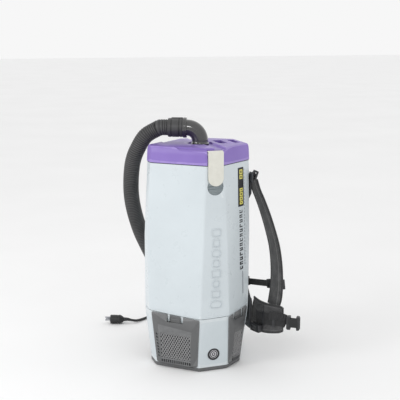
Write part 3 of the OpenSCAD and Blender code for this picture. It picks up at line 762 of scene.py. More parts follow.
@dataclass(frozen=True)
class PaddedNylon:
    """Heavy textured nylon over foam: a basket weave with flat sheen and rows of lockstitch."""

    name: str
    thread: str
    shade: str
    fuzz: str
    weave_mm: float = 1.8
    stitch_rows: tuple[float, ...] = ()
    seam_pitch_mm: float = 4.2

    def make(self) -> Material:
        """Makes the material.

        Returns:
            The material, woven along the piece's mapped lengths.
        """
        sheet = NodeSheet(self.name)
        split = sheet.lengths()
        # The real thread is half this size; it is drawn coarser so that the weave shows
        turns = tau / (self.weave_mm * MM)
        warp = sheet.math("SINE", sheet.math("MULTIPLY", split[0], turns))
        weft = sheet.math("SINE", sheet.math("MULTIPLY", split[1], turns))
        weave = sheet.math("MULTIPLY_ADD", sheet.math("MULTIPLY", warp, weft), 0.5, 0.5)
        worn = sheet.noise(26, 6, 0.65)
        tone = sheet.math("MULTIPLY_ADD", weave, 0.35, sheet.math("MULTIPLY", worn, 0.8))
        base = sheet.ramp(tone, [(0.25, self.shade), (0.6, self.thread), (0.95, self.fuzz)])
        relief = sheet.bump(weave, 0.25, 0.55)
        relief = sheet.bump(sheet.noise(9, 3), 0.8, 0.35, relief)
        for row in self.stitch_rows:
            across = sheet.math("LESS_THAN",
                sheet.math("ABSOLUTE", sheet.math("SUBTRACT", split[0], row * MM)), 0.9 * MM)
            dash = sheet.math("LESS_THAN",
                sheet.math("FRACT", sheet.math("DIVIDE", split[1], self.seam_pitch_mm * MM)), 0.62)
            stitch = sheet.math("MULTIPLY", across, dash)
            relief = sheet.bump(stitch, 0.6, 0.8, relief)
            base = sheet.overlay(stitch, base, self.fuzz)
        return sheet.finish(Base_Color=base, Roughness=0.82, Normal=relief, Sheen_Weight=0.35,
            Sheen_Roughness=0.45, IOR=1.45)


@dataclass(frozen=True)
class Webbing:
    """Woven nylon strap: tight chevron ribs across its width and a plain selvedge at each edge."""

    name: str
    thread: str
    shade: str
    rib_mm: float = 2.0

    def make(self) -> Material:
        """Makes the material."""
        sheet = NodeSheet(self.name)
        split = sheet.lengths()
        # Ribs are drawn at twice the real thread spacing so that they show
        lean = sheet.math("PINGPONG", split[0], 2.2 * MM)
        rib = sheet.math("SINE", sheet.math("MULTIPLY", sheet.math("ADD", split[1], lean),
            tau / (self.rib_mm * MM)))
        height = sheet.math("MULTIPLY_ADD", rib, 0.5, 0.5)
        worn = sheet.noise(12, 5, 0.6)
        tone = sheet.math("MULTIPLY_ADD", height, 0.5, sheet.math("MULTIPLY", worn, 0.5))
        base = sheet.ramp(tone, [(0.2, self.shade), (0.75, self.thread)])
        return sheet.finish(Base_Color=base, Roughness=0.7, Normal=sheet.bump(height, 0.3, 0.7),
            Sheen_Weight=0.2, Sheen_Roughness=0.4, IOR=1.5)


@dataclass(frozen=True)
class Metal:
    """Bare or plated metal with fine turning or rolling lines, dulled by handling."""

    name: str
    colour: str
    dull: str
    roughness: float = 0.3
    line_mm: float = 0.6

    def make(self) -> Material:
        """Makes the material."""
        sheet = NodeSheet(self.name)
        base = sheet.ramp(sheet.noise(9, 6, 0.7), [(0.3, self.dull), (0.65, self.colour)])
        stretched = sheet.add("ShaderNodeMapping",
            inputs={"Vector": sheet.place, "Scale": (1.0, 1.0, 0.06)})
        lines = sheet.noise(self.line_mm, 2, place=stretched.outputs[0])
        rough = sheet.spread(lines, 0, 1, self.roughness - 0.06, self.roughness + 0.14)
        return sheet.finish(Base_Color=base, Metallic=1.0, Roughness=rough,
            Normal=sheet.bump(lines, 0.02, 0.4))


@dataclass(frozen=True)
class SoftSheet:
    """Filter paper, filter cloth or foam: matt and fibrous, grey with dust in its hollows."""

    name: str
    colour: str
    dusty: str
    fibre_mm: float = 1.5
    depth_mm: float = 0.3

    def make(self) -> Material:
        """Makes the material."""
        sheet = NodeSheet(self.name)
        base = sheet.ramp(sheet.noise(30, 5, 0.6), [(0.35, self.dusty), (0.6, self.colour)])
        fibre = sheet.noise(self.fibre_mm, 4, 0.7)
        return sheet.finish(Base_Color=base, Roughness=0.92,
            Normal=sheet.bump(fibre, self.depth_mm, 0.8), Sheen_Weight=0.1)


@dataclass(frozen=True)
class Rubber:
    """Moulded rubber or flexible PVC: near black, satin, with a pale bloom of dust."""

    name: str
    colour: str
    bloom: str
    roughness: float = 0.55

    def make(self) -> Material:
        """Makes the material."""
        sheet = NodeSheet(self.name)
        base = sheet.ramp(sheet.noise(25, 6, 0.7), [(0.35, self.colour), (0.8, self.bloom)])
        relief = sheet.bump(sheet.noise(1.2, 3), 0.06, 0.4)
        return sheet.finish(Base_Color=base, Roughness=self.roughness, Normal=relief, IOR=1.52)


@dataclass(frozen=True)
class StudioPaper:
    """Matt white background paper that the machine stands on."""

    name: str = "studio_paper"
    colour: str = "#F8F8F8"

    def make(self) -> Material:
        """Makes the material."""
        sheet = NodeSheet(self.name)
        base = sheet.ramp(sheet.noise(600, 2), [(0.2, "#F4F4F4"), (0.8, self.colour)])
        return sheet.finish(Base_Color=base, Roughness=0.9)


class Paintbox:
    """Every finish of the machine, made once and handed out by name."""

    FINISHES = (MouldedPlastic("shell_abs", "#CDD5D9", "#C8D0D4", "#DEE3E5", 0.30, coat=0.12),
        # Darker grey for the finger scoops: painted shade of the recess below each latch
        MouldedPlastic("scoop_abs", "#7F898D", "#717B7F", "#A2AAAD", 0.42),
        MouldedPlastic("base_abs", "#C8D0D4", "#C1CACE", "#D8DDDF", 0.32, coat=0.08),
        MouldedPlastic("lid_abs", "#8870BC", "#7E66B2", "#A794D2", 0.36, coat=0.0),
        MouldedPlastic("latch_abs", "#D3D2C8", "#CAC9BF", "#E4E3DA", 0.34, coat=0.10),
        MouldedPlastic("vent_polypropylene", "#5E5F60", "#545556", "#7C7D7E", 0.46, 1.1, 0.07),
        MouldedPlastic("grille_polypropylene", "#808081", "#747475", "#9C9C9D", 0.46, 1.1, 0.05),
        MouldedPlastic("rim_polypropylene", "#505152", "#474849", "#6C6D6E", 0.50, 1.1, 0.07),
        MouldedPlastic("buckle_acetal", "#17181A", "#121214", "#3A3B3E", 0.36),
        MouldedPlastic("plate_polypropylene", "#2A2B2E", "#222326", "#4A4C50", 0.52, 1.1, 0.07),
        MouldedPlastic("cuff_vinyl", "#2C2C2D", "#222223", "#4E4E4F", 0.36, 1.0, 0.05),
        MouldedPlastic("label_ink", "#121217", "#0F0F13", "#1E1E23", 0.45, 1.0, 0.01),
        MouldedPlastic("label_yellow", "#D9CF5A", "#CFC44E", "#E4DC7A", 0.40, 1.0, 0.01),
        MouldedPlastic("label_grey", "#6B7078", "#646971", "#8A8E95", 0.42, 1.0, 0.01),
        # Darker than the shell the frames are moulded in: painted shade that makes their relief
        # show
        MouldedPlastic("emboss_abs", "#B6BFC4", "#AFB9BE", "#D2D8DB", 0.32),
        MouldedPlastic("rocker_grey", "#4C4C4D", "#404041", "#6E6E6F", 0.30),
        PolishedPlastic("elbow_gloss", "#2E2E2E", "#232323", 0.10),
        HoseVinyl("hose_vinyl", "#1E1E1F", "#4C4C4D"),
        PaddedNylon("pad_nylon", "#484848", "#303030", "#6E6E6E", stitch_rows=(9.0, 51.0)),
        PaddedNylon("wing_nylon", "#434344", "#2E2E2F", "#636364", stitch_rows=(10.0, 94.0)),
        PaddedNylon("band_mesh", "#5A5A5A", "#424242", "#7A7A7A", weave_mm=2.6),
        PaddedNylon("binding_tape", "#2E2E2F", "#202021", "#484849", weave_mm=1.4),
        Webbing("strap_webbing", "#2C2C2E", "#151516"), Metal("bright_steel", "#B9BBC0", "#93959A"),
        Metal("badge_steel", "#DAD9DC", "#B4B3B7", 0.24),
        Metal("spun_aluminium", "#C4C6C8", "#A4A6A9", 0.34),
        Metal("motor_steel", "#7E8186", "#66696E", 0.42),
        Metal("wound_copper", "#B06A3A", "#8A4E28", 0.38, 0.4),
        Metal("plug_brass", "#CDB878", "#A99350", 0.28),
        SoftSheet("filter_cloth", "#E8E5DA", "#CFCBBE"),
        SoftSheet("bag_paper", "#D3BF96", "#BBA67C", 1.0, 0.15),
        SoftSheet("exhaust_foam", "#2B2C2E", "#1E1F21", 2.2, 1.0),
        SoftSheet("collar_card", "#B0905C", "#93764A", 1.0, 0.12),
        Rubber("black_rubber", "#1B1C1E", "#2F3033"),
        Rubber("cord_rubber", "#17181A", "#2B2C2E", 0.46), StudioPaper(),)

    def __init__(self) -> None:
        """Makes all the finishes."""
        self.made = {finish.name: finish.make() for finish in self.FINISHES}

    def dress(self, piece: Thing, name: str) -> Thing:
        """Gives a piece one finish and hands the piece back."""
        piece.data.materials.clear()
        piece.data.materials.append(self.made[name])
        return piece


# ---- The body's form ----


HALF, LATCH_HALF, FRONT, BACK = 1, 2, 3, 4  # columns of the body's levels


@dataclass(frozen=True)
class BodyForm:
    """The body's tapering eight-sided form with round upright corners, in millimetres.

    Each level gives a height, the half width, the half width of the latch face, the front depth
    and the back depth.
    """

    levels: Rows = ((8, 122, 44, 147, 104), (167, 136.5, 45, 166, 133), (400, 139, 36, 168, 138.5),
        (617, 138, 28, 156, 136))
    corner_r: float = 12
    wall: float = 3.2
    front_slope: float = 113.5 / 121
    rear_slope: float = 65.5 / 88
    seam_z: float = 167
    seam_r: float = 980
    seam_y: float = -30
    shell_top: float = 617
    lid_top: float = 661

    def level(self, z: float, column: int) -> float:
        """Reads one column of the levels at a height."""
        return table(z, [(row[0], row[column]) for row in self.levels])

    def plan(self, z: float) -> list[Vector]:
        """Gives the plan's corners at a height, counter-clockwise from the front of the +X side."""
        x, s, f, b = (self.level(z, column) for column in (HALF, LATCH_HALF, FRONT, BACK))
        fh, bh = x - self.front_slope * (f - s), x - self.rear_slope * (b - s)
        return [Vector(p) for p in ((x, -s), (x, s), (bh, b), (-bh, b), (-x, s), (-x, -s),
            (-fh, -f), (fh, -f))]

    def ring(self, z: float, inset: float = 0.0, steps: int = 6, spans: int = 6) -> list[Vector]:
        """Gives one rounded outline of the body.

        Args:
            z: Height of the outline.
            inset: How far the outline is moved inward.
            steps: Segments in each corner.
            spans: Segments along each flat.

        Returns:
            The outline's points.
        """
        plan, r = self.plan(z), max(self.corner_r - inset, 1.5)
        edges = [(plan[(i + 1) % 8] - plan[i]).normalized() for i in range(8)]
        outward = [Vector((e.y, -e.x)) for e in edges]
        arcs = []
        for i in range(8):
            a, b = outward[i - 1], outward[i]
            centre = plan[i] - (a + b) * ((inset + r) / (1 + a.dot(b)))
            start = atan2(a.y, a.x)
            turn = (atan2(b.y, b.x) - start) % tau
            arcs.append([centre + r
                * Vector((cos(start + turn * k / steps), sin(start + turn * k / steps)))
                for k in range(steps + 1)])
        points = []
        for arc, following in zip(arcs, arcs[1:] + arcs[:1]):
            points += arc + [arc[-1].lerp(following[0], k / spans) for k in range(1, spans)]
        return [Vector((p.x, p.y, z)) for p in points]

    def seam_height(self, y: float) -> float:
        """Gives the height of the curved seam at a depth."""
        return self.seam_z + self.seam_r - sqrt(self.seam_r ** 2 - (y - self.seam_y) ** 2)

    def seam_ring(self, above: float, inset: float = 0.0) -> list[Vector]:
        """Gives an outline that follows the seam, a little above or below it."""
        span = 23  # the seam's ends rise less than this above its middle
        low, high = self.ring(self.seam_z, inset), self.ring(self.seam_z + span, inset)
        points = []
        for a, b in zip(low, high):
            p = a.copy()
            for _ in range(4):
                p = a.lerp(b, (self.seam_height(p.y) + above - a.z) / span)
            points.append(p)
        return points

    def solid(self, name: str, stations: Sequence[Pair]) -> Thing:
        """Makes the form's solid between stations of (height, inset)."""
        return made(name, skin([self.ring(z, inset) for z, inset in stations]))


@dataclass(frozen=True)
class CornerFace:
    """One of the base's four leaning corner faces, with its own frame: X out, Y along, Z up."""

    form: BodyForm
    corner: Corner
    side: Side
    foot_z: float = 14
    border: float = 5

    def ends(self, z: float) -> tuple[Vector, Vector]:
        """Gives the plan points at the two ends of the face on the right side."""
        p = self.form.plan(z)
        return (p[1], p[2]) if self.corner is Corner.REAR else (p[0], p[7])

    def mid(self, z: float) -> Vector:
        """Gives the plan point in the middle of the face."""
        a, b = self.ends(z)
        return (a + b) / 2

    def half(self, z: float) -> float:
        """Gives half the width of the face at a height."""
        a, b = self.ends(z)
        return (b - a).length / 2

    @property
    def outward(self) -> Vector:
        """The face's outward direction in plan, on the right side."""
        a, b = self.ends(self.form.seam_z)
        d = (b - a).normalized()
        return Vector((d.y, -d.x)) if self.corner is Corner.REAR else Vector((-d.y, d.x))

    @property
    def tilt(self) -> float:
        """How far the face leans outward going up, in radians."""
        rise = self.form.seam_z - 8
        return atan((self.mid(self.form.seam_z) - self.mid(8)).dot(self.outward) / rise)

    @property
    def matrix(self) -> Matrix:
        """Takes the face's own millimetres to the part's frame."""
        out, mid = self.outward, self.mid(self.foot_z)
        place = moved(mid.x, mid.y, self.foot_z)
        turn = Matrix.Rotation(atan2(out.y, out.x), 4, "Z") @ Matrix.Rotation(self.tilt, 4, "Y")
        return on_side(self.side) @ place @ turn

    def top(self, end: int) -> float:
        """Gives the height in the face's frame of the cover's corner at its -Y or +Y end."""
        along = Vector((-self.outward.y, self.outward.x))
        y = (self.mid(self.form.seam_z) + end * (self.half(self.form.seam_z) - self.border)
            * along).y
        return (self.form.seam_height(y) - 2.5 - self.foot_z) / cos(self.tilt)


# ---- Sub-assemblies ----


@dataclass
class Piece:
    """A finished piece: object, finish, body, material slot and the nodes it stands for."""

    thing: Thing
    finish: Optional[str]
    body: str
    slot: str
    nodes: tuple[str, ...] = ()


@dataclass
class SubAssembly:
    """A group of pieces that are built and finished together."""

    form: BodyForm
    paints: Paintbox
    pieces: list[Piece] = field(default_factory=list)

    def keep(self, thing: Thing, finish: Optional[str], slot: str, *nodes: str,
            body: str = "body") -> Thing:
        """Notes a piece with its finish and its place in the frame.

        Args:
            thing: The piece's object.
            finish: Name of its finish, or None where its materials are already set.
            slot: Material slot of the record.
            nodes: Frame nodes that the piece stands for.
            body: The frame's body that it rides on.

        Returns:
            The same object.
        """
        self.pieces.append(Piece(thing, finish, body, slot, nodes))
        return thing

    def build(self) -> None:
        """Makes the group's meshes."""
        raise NotImplementedError

    def dress(self) -> None:
        """Gives each piece its finish and ties it to its body."""
        for piece in self.pieces:
            if piece.finish:
                self.paints.dress(piece.thing, piece.finish)
            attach(piece.thing, piece.body)
            if piece.nodes:
                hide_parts(*piece.nodes)


@dataclass
class UpperShell(SubAssembly):
    """The pale upper shell with its latch grooves, finger scoops, raised frames and labels."""

    groove_x: float = 136.8
    groove_half: float = 24.2
    groove_foot: float = 558.6
    scoop_z: float = 552
    scoop_r: float = 90
    scoop_x: float = 225.8
    # Thickness of the darker skin that paints shade into each finger scoop
    liner: float = 0.3

    def build(self) -> None:
        """Makes the shell and what is fixed on it."""
        form = self.form
        heights = [200, 240, 280, 320, 360, 400, 440, 480, 520, 560, 600]
        outer = [form.seam_ring(0, 0.9), form.seam_ring(0.9), form.seam_ring(3.6),
            form.seam_ring(3.9, 0.7), form.seam_ring(4.9, 0.7), form.seam_ring(5.2)]
        outer += [form.ring(z) for z in heights] + [form.ring(form.shell_top - 0.8),
            form.ring(form.shell_top, 0.8)]
        inner = [form.ring(form.shell_top, form.wall)]
        inner += [form.ring(z, form.wall) for z in reversed(heights)] + [
            form.seam_ring(0, form.wall)]
        shell = made("shell_moulding", skin(outer + inner + outer[:1], caps=False))
        tools = []
        for side in Side:
            place = on_side(side)
            outward = place @ Z_TO_RIGHT
            tools.append(slab("groove", latch_outline(self.groove_half, self.groove_foot,
                form.shell_top + 2), self.groove_x, 148, outward))
            tools.append(self.scoop(place, self.scoop_r))
            # A thin darker skin laid in the finger scoop is painted shade of the recess
            liner = self.scoop(place, self.scoop_r)
            cut(liner, box("outside", (138.1, -40, 500), (400, 40, 600), place),
                self.scoop(place, self.scoop_r - self.liner))
            self.keep(liner, "scoop_abs", "shell_grey")
        cut(shell, *tools)
        round_edges(shell, 0.7)
        self.keep(shell, "shell_abs", "shell_grey", "upper_shell")
        for side in Side:
            self.raised_frames(side)
            self.label(side)

    def scoop(self, place: Matrix, radius: float) -> Thing:
        """Makes the solid of a finger scoop of a radius below a latch; its centre stays."""
        hollow = slab("scoop", circle(radius, 240), -self.groove_half, self.groove_half,
            place @ moved(self.scoop_x, 0, self.scoop_z) @ Z_TO_FRONT)
        keep = slab("keep", circle(self.groove_half, 96), 120, 160,
            place @ moved(0, 0, self.scoop_z + 5) @ Z_TO_RIGHT)
        combine(hollow, [keep], "INTERSECT")
        return hollow

    def raised_frames(self, side: Side) -> None:
        """Makes the column of plain raised frames below a latch and the raised oval under them."""
        frames = []
        for k in range(8):
            low = 196.0 if k == 0 else 228 + 30.5 * (k - 1)
            high = low + 25
            x = self.form.level((low + high) / 2, HALF)
            lean = atan((self.form.level(high, HALF) - self.form.level(low, HALF)) / (high - low))
            place = (on_side(side) @ moved(x - 0.6, 3, (low + high) / 2)
                @ Matrix.Rotation(lean, 4, "Y") @ Z_TO_RIGHT)
            wide = 40 if k == 0 else 24 + 6 * (k % 2)
            radius = 12 if k == 0 else 4 + 3 * (k % 3)
            frame = slab("frame", rounded_rectangle(high - low, wide, radius), -1, 2.4, place)
            cut(frame, slab("hole",
                rounded_rectangle(high - low - 7, wide - 7, max(1.5, radius - 3)), 0.4, 5, place))
            round_edges(frame, 0.6)
            frames.append(frame)
        # The raised frames take a darker grey than the shell as painted shade of their relief
        self.keep(join(f"raised_frames_{side.label}", frames), "emboss_abs", "shell_grey")

    def label(self, side: Side) -> None:
        """Makes the label on a rear corner face: a dark plate, bright blocks and plain dashes."""
        form, low_z, high_z = self.form, 416, 602
        face = CornerFace(form, Corner.REAR, side)
        a, b = face.ends(450)
        along = (b - a).normalized()
        out = Vector((along.y, -along.x))
        low, high = face.mid(low_z), face.mid(high_z)
        lean = atan((high - low).dot(out) / (high_z - low_z))
        place = (on_side(side) @ moved(low.x, low.y, low_z)
            @ Matrix.Rotation(atan2(out.y, out.x), 4, "Z") @ Matrix.Rotation(lean, 4, "Y"))

        def tile(name: str, y: Pair, z: Pair, proud: float, finish: str) -> Thing:
            """Makes one flat tile on the face."""
            return self.paints.dress(box(name, (-0.3, y[0], z[0]), (proud, y[1], z[1]), place),
                finish)

        tiles = [tile("plate", (0, 30), (70, 185), 0.6, "label_ink")]
        for z, tall in ((76, 9), (87, 11), (100, 12), (114, 10), (151, 12), (165, 14)):
            tiles.append(tile("block", (8, 24), (z, z + tall), 0.8, "label_yellow"))
            tiles.append(tile("hollow", (13, 19), (z + 3, z + tall - 3), 1.0, "label_ink"))
        self.keep(join(f"label_plate_{side.label}", tiles), None, "label_dark",
            f"label_{side.label}")
        dashes = []
        for k in range(13):
            z = 60.0 - 14.2 * k
            dashes.append(tile("dash", (6, 22), (z - 10, z - 7), 0.4, "label_ink"))
            dashes.append(tile("dash", (6, 22) if k % 3 else (6, 12), (z - 4, z - 1), 0.4,
                "label_ink"))
            dashes.append(tile("dash", (6, 9) if k % 2 else (19, 22), (z - 10, z - 1), 0.4,
                "label_ink"))
        z = 180.0
        while z > -110:
            dashes.append(tile("line", (33.6, 35), (z - 6, z), 0.35, "label_grey"))
            z -= 9 + 3 * abs(sin(z))
        dashes.append(tile("line", (20, 21.6), (-196, -128), 0.35, "label_grey"))
        self.keep(join(f"label_dashes_{side.label}", dashes), None, "label_dark")


@dataclass
class Base(SubAssembly):
    """The base housing with its rim, badges and gland opening."""

    badge_z: float = 53

    def build(self) -> None:
        """Makes the base and what is fixed on it."""
        form = self.form
        heights = [150, 120, 90, 60, 30]
        outer = [form.seam_ring(-1.2, 0.8), form.seam_ring(-2)] + [form.ring(z) for z in heights]
        outer += [form.ring(12.6), form.ring(12, 0.6)]
        inner = [form.ring(12, form.wall)] + [form.ring(z, form.wall) for z in reversed(heights)]
        inner += [form.seam_ring(-1.2, form.wall)]
        base = made("base_moulding", skin(outer + inner + outer[:1], caps=False))
        x, z = PowerLead.gland
        tools = [slab("bore", circle(8, 48), 0, 60, moved(x, 78, z) @ Z_TO_BACK)]
        foot, head = VentCover.window
        for corner in Corner:
            for side in Side:
                face = CornerFace(form, corner, side)
                half = face.half(face.foot_z) - face.border - VentCover.MARGIN[corner]
                tools.append(box("window", (-12, -half, foot), (6, half, head), face.matrix))
        cut(base, *tools)
        self.keep(base, "base_abs", "shell_grey", "base_housing")
        rim = form.solid("rim_plate", [(0, 3.4), (0.8, 2.5), (3, -0.5), (4, -0.8), (10.6, -0.8),
            (11.6, 0.0), (11.6, 5), (4, 6), (4, 40)])
        self.keep(rim, "rim_polypropylene", "rim_grey", "base_rim")
        for side in Side:
            self.badge(side)

    def badge(self, side: Side) -> None:
        """Makes a round badge with plain rings and a dark bezel."""
        place = (on_side(side) @ moved(self.form.level(self.badge_z, HALF) - 1.2, 0, self.badge_z)
            @ Z_TO_RIGHT)
        disc = turned("disc", [(0, 0.2), (15, 0.2), (15, 2.3), (14.6, 2.5), (2.2, 2.5), (0, 2.8)],
            place)
        self.paints.dress(disc, "badge_steel")
        grooves = [self.paints.dress(
            turned("groove", [(r, 2.3), (r + 3.0, 2.3), (r + 2.8, 2.75), (r + 0.2, 2.75)], place),
            "label_ink") for r in (2.6, 8.4)]
        bezel = [(12.4, 0), (18.5, 0), (18.5, 2.2), (17.8, 3.0), (15.0, 3.2), (13.0, 2.9),
            (12.4, 2.2)]
        ring = self.paints.dress(turned("ring", bezel, place), "label_ink")
        self.keep(join(f"badge_disc_{side.label}", [disc, ring] + grooves), None, "badge_metal",
            f"badge_{side.label}")


@dataclass
class VentCover(SubAssembly):
    """A snap-in exhaust cover: sloped frame, fine diamond grille, slots and a snap tab."""

    MARGIN = {Corner.FRONT: 18, Corner.REAR: 11}

    corner: Corner = Corner.FRONT
    side: Side = Side.RIGHT
    gap: float = 0.4
    plate: float = 3.0
    raise_by: float = 6.0
    bevel_top: float = 28
    bevel_side: float = 20
    window: Pair = (20, 98)
    pitch: float = 7.0
    bar: float = 2.0
    tab_w: float = 34
    tab_slot: float = 9

    def outline(self, face: CornerFace, inset: float, foot: float) -> list[Vector]:
        """Gives the cover's four corners in the face's frame, shrunk by an inset."""
        low = face.half(face.foot_z) - face.border - inset
        high = face.half(face.form.seam_z) - face.border - inset
        return [Vector((0, -low, foot)), Vector((0, low, foot)),
            Vector((0, high, face.top(1) - inset)), Vector((0, -high, face.top(-1) - inset))]

    def rounded(self, corners: list[Vector], x: float, r: float, steps: int = 4) -> list[Vector]:
        """Rounds the corners of a four-sided outline that stands at a distance out."""
        points = []
        for i, p in enumerate(corners):
            a, b = (corners[i - 1] - p).normalized(), (corners[(i + 1) % 4] - p).normalized()
            for k in range(steps + 1):
                t = k / steps
                points.append(p + a * r * (1 - t) ** 2 + b * r * t ** 2 + Vector((x, 0, 0)))
        return points

    def build(self) -> None:
        """Makes the cover and its grille."""
        face = CornerFace(self.form, self.corner, self.side)
        g, t = self.gap, self.plate
        base, edge = self.outline(face, 0, 0), self.outline(face, 1.2, 0.8)
        inner = self.outline(face, self.bevel_side, 1.6)
        for k in (2, 3):
            inner[k].z -= self.bevel_top - self.bevel_side
        rings = [self.rounded(base, g, 6), self.rounded(base, g + t - 0.8, 6),
            self.rounded(edge, g + t, 5), self.rounded(inner, g + t + self.raise_by - 0.7, 5)]
        shrunk = [p + (sum(inner, Vector()) / 4 - p).normalized() * 2 for p in inner]
        rings.append(self.rounded(shrunk, g + t + self.raise_by, 5))
        cover = made("cover", skin(rings), crease=20)
        half = face.half(face.foot_z) - face.border - self.MARGIN[self.corner]
        low_top = min(face.top(1), face.top(-1))
        tools = [box("window", (-1, -half, self.window[0]), (20, half, self.window[1]))]
        for end in (-1, 1):
            y = end * (self.tab_w + self.tab_slot) / 2
            tools.append(box("notch", (-1, y - self.tab_slot / 2, low_top - 16),
                (30, y + self.tab_slot / 2, 400)))
        tools.append(box("step", (t + g, -self.tab_w / 2, low_top - 16), (30, self.tab_w / 2, 400)))
        tools += self.slots(face, half)
        cut(cover, *tools)
        round_edges(cover, 0.5)
        parts = [self.paints.dress(cover, "vent_polypropylene")]
        parts += [self.paints.dress(bar, "grille_polypropylene") for bar in self.grille(half)]
        parts.append(box("lip", (g + t - 0.2, -self.tab_w / 2 + 3, low_top - 7),
            (g + t + 1.6, self.tab_w / 2 - 3, low_top - 4.6), edge=0.6))
        self.paints.dress(parts[-1], "vent_polypropylene")
        whole = join(f"vent_cover_{self.corner.value}_{self.side.label}", parts)
        move_mesh(whole, face.matrix)
        node = f"vent_{self.corner.value}_{self.side.label}"
        self.keep(whole, None, "vent_grey", node, body=node)

    def slots(self, face: CornerFace, half: float) -> list[Thing]:
        """Makes the cutters of the slot column beside the window and of the row below it."""
        low, high = self.window
        cutters = []
        if self.corner is Corner.FRONT:
            for k in range(8):
                z = mix(low + 1, high - 9, k / 7)
                y = face.half(face.foot_z) - face.half(z) - half
                cutters.append(box("slot", (-1, min(y - 10.5, -half - 10), z),
                    (20, min(y - 4, -half - 3.6), z + 6.2)))
        count = 14 if self.corner is Corner.FRONT else 7
        for k in range(count):
            y = mix(-half + 1, half - 5.2, k / (count - 1))
            cutters.append(box("slot", (-1, y, low - 14), (20, y + 4.2, low - 4.5)))
        return cutters

    def grille(self, half: float) -> list[Thing]:
        """Makes the crossing bars of the diamond grille, each cut to the window."""
        low, high = self.window
        middle, bars = (low + high) / 2, []
        out = self.gap + self.plate + self.raise_by
        for lean in (-32, 32):
            d = Vector((sin(radians(lean)), cos(radians(lean))))
            reach = half + (high - low) / 2
            for k in range(-int(reach / self.pitch), int(reach / self.pitch) + 1):
                y0 = k * self.pitch / cos(radians(lean))
                start, stop = -1000.0, 1000.0
                for p, v, a, b in ((y0, d.x, -half, half), (0.0, d.y, low - middle, high - middle)):
                    first, last = sorted(((a - p) / v, (b - p) / v))
                    start, stop = max(start, first), min(stop, last)
                if stop - start < 2:
                    continue
                side = Vector((d.y, -d.x)) * self.bar / 2
                ends = [Vector((y0, middle)) + d * s for s in (start, stop)]
                outline = [(e + m * side) for e, m in ((ends[0], 1), (ends[0], -1), (ends[1], -1),
                    (ends[1], 1))]
                depth = (out - 3.2, out - 1.4) if lean < 0 else (out - 3.0, out - 1.2)
                bars.append(made("bar",
                    skin([[Vector((x, p.x, p.y)) for p in outline] for x in depth])))
        return bars


@dataclass
class Lid(SubAssembly):
    """The violet lid with its plateau, raised rear rim, elbow pit, finger well and grip bar."""

    pit_r: float = 37
    elbow_y: float = 2
    pin: Pair = (134.5, 654)
    notch_half: float = 24.4
    well: tuple[float, float, float, float] = (36, 52, 118, 631)

    def build(self) -> None:
        """Makes the lid and its handle."""
        form, top = self.form, self.form.lid_top
        lid = form.solid("lid_moulding", [(619, -0.7), (619.8, -1.5), (630, -0.95), (645, -0.15),
            (655.6, 0.4), (657.6, 1.4), (659.6, 4.2), (661, 7)])
        hollow = form.solid("hollow", [(618, 6.7), (654, 6.7), (658, 11.2)])
        rings = [form.ring(z, inset) for z, inset in ((611, 4.2), (623, 4.2), (623, 6.7),
            (611, 6.7))]
        tongue = made("tongue", skin(rings + rings[:1], caps=False))
        plateau = form.solid("plateau", [(656, 14), (661, 14), (664.6, 16.2), (665.6, 17.2),
            (666, 18.6)])
        cut(plateau, box("half", (-200, self.elbow_y, 600), (200, 300, 800)))
        cut(lid, hollow)
        half, front, back, floor = self.well
        rim = form.solid("rim", [(650, 1.4), (656, 1.1), (660, 1.7), (663.4, 2.7), (665.4, 4.3),
            (666.6, 6.8), (667, 9.6)])
        cut(rim, box("front", (-200, -300, -80), (200, 0, 120), moved(0, 33, 661) @ tipped(-40)))
        adds = [plateau, rim]
        for side in Side:
            cheek = form.solid("cheek", [(621, 0.5), (655, 1.5)])
            combine(cheek, [box("keep", (118, -30, 600), (140, 30, 700), on_side(side))],
                "INTERSECT")
            adds.append(cheek)
        adds.append(slab("boss", circle(26, 72), 641, 660, moved(0, self.elbow_y, 0)))
        adds.append(box("tray", (-half - 2.5, front - 2.5, floor - 2.5),
            (half + 2.5, back + 2.5, 660)))
        combine(lid, adds, "UNION")
        cuts = [slab("pit", circle(self.pit_r, 120), top, top + 30, moved(0, self.elbow_y, 0)),
            slab("bore", circle(21.1, 96), 600, 700, moved(0, self.elbow_y, 0)),
            slab("well", rounded_rectangle(2 * half, back - front, 8), floor, 700,
            moved(0, (front + back) / 2, 0)), slab("drain", rounded_rectangle(14, 6, 2.9), top + 1,
            top + 20, moved(-33, -131, 0))]
        for side in Side:
            cuts.append(box("slot", (self.pin[0] - 9.5, -self.notch_half, 600),
                (152, self.notch_half, 700), on_side(side)))
        cut(lid, *cuts)
        round_edges(lid, 0.8)
        whole = join("lid_moulding_whole", [lid, tongue])
        for side in Side:
            cut(whole, box("relief", (128, -28, 600), (150, 28, 619), on_side(side)))
        self.keep(whole, "lid_abs", "lid_purple", "lid", body="lid")
        self.handle()

    def handle(self) -> None:
        """Makes the grip bar across the finger well."""
        bar = slab("grip", rounded_rectangle(2 * self.well[0] + 2, 20, 1.5), 655.5, 666.5,
            moved(0, 92, 0), 2.6)
        self.keep(bar, "lid_abs", "lid_purple", "carry_handle", body="lid")


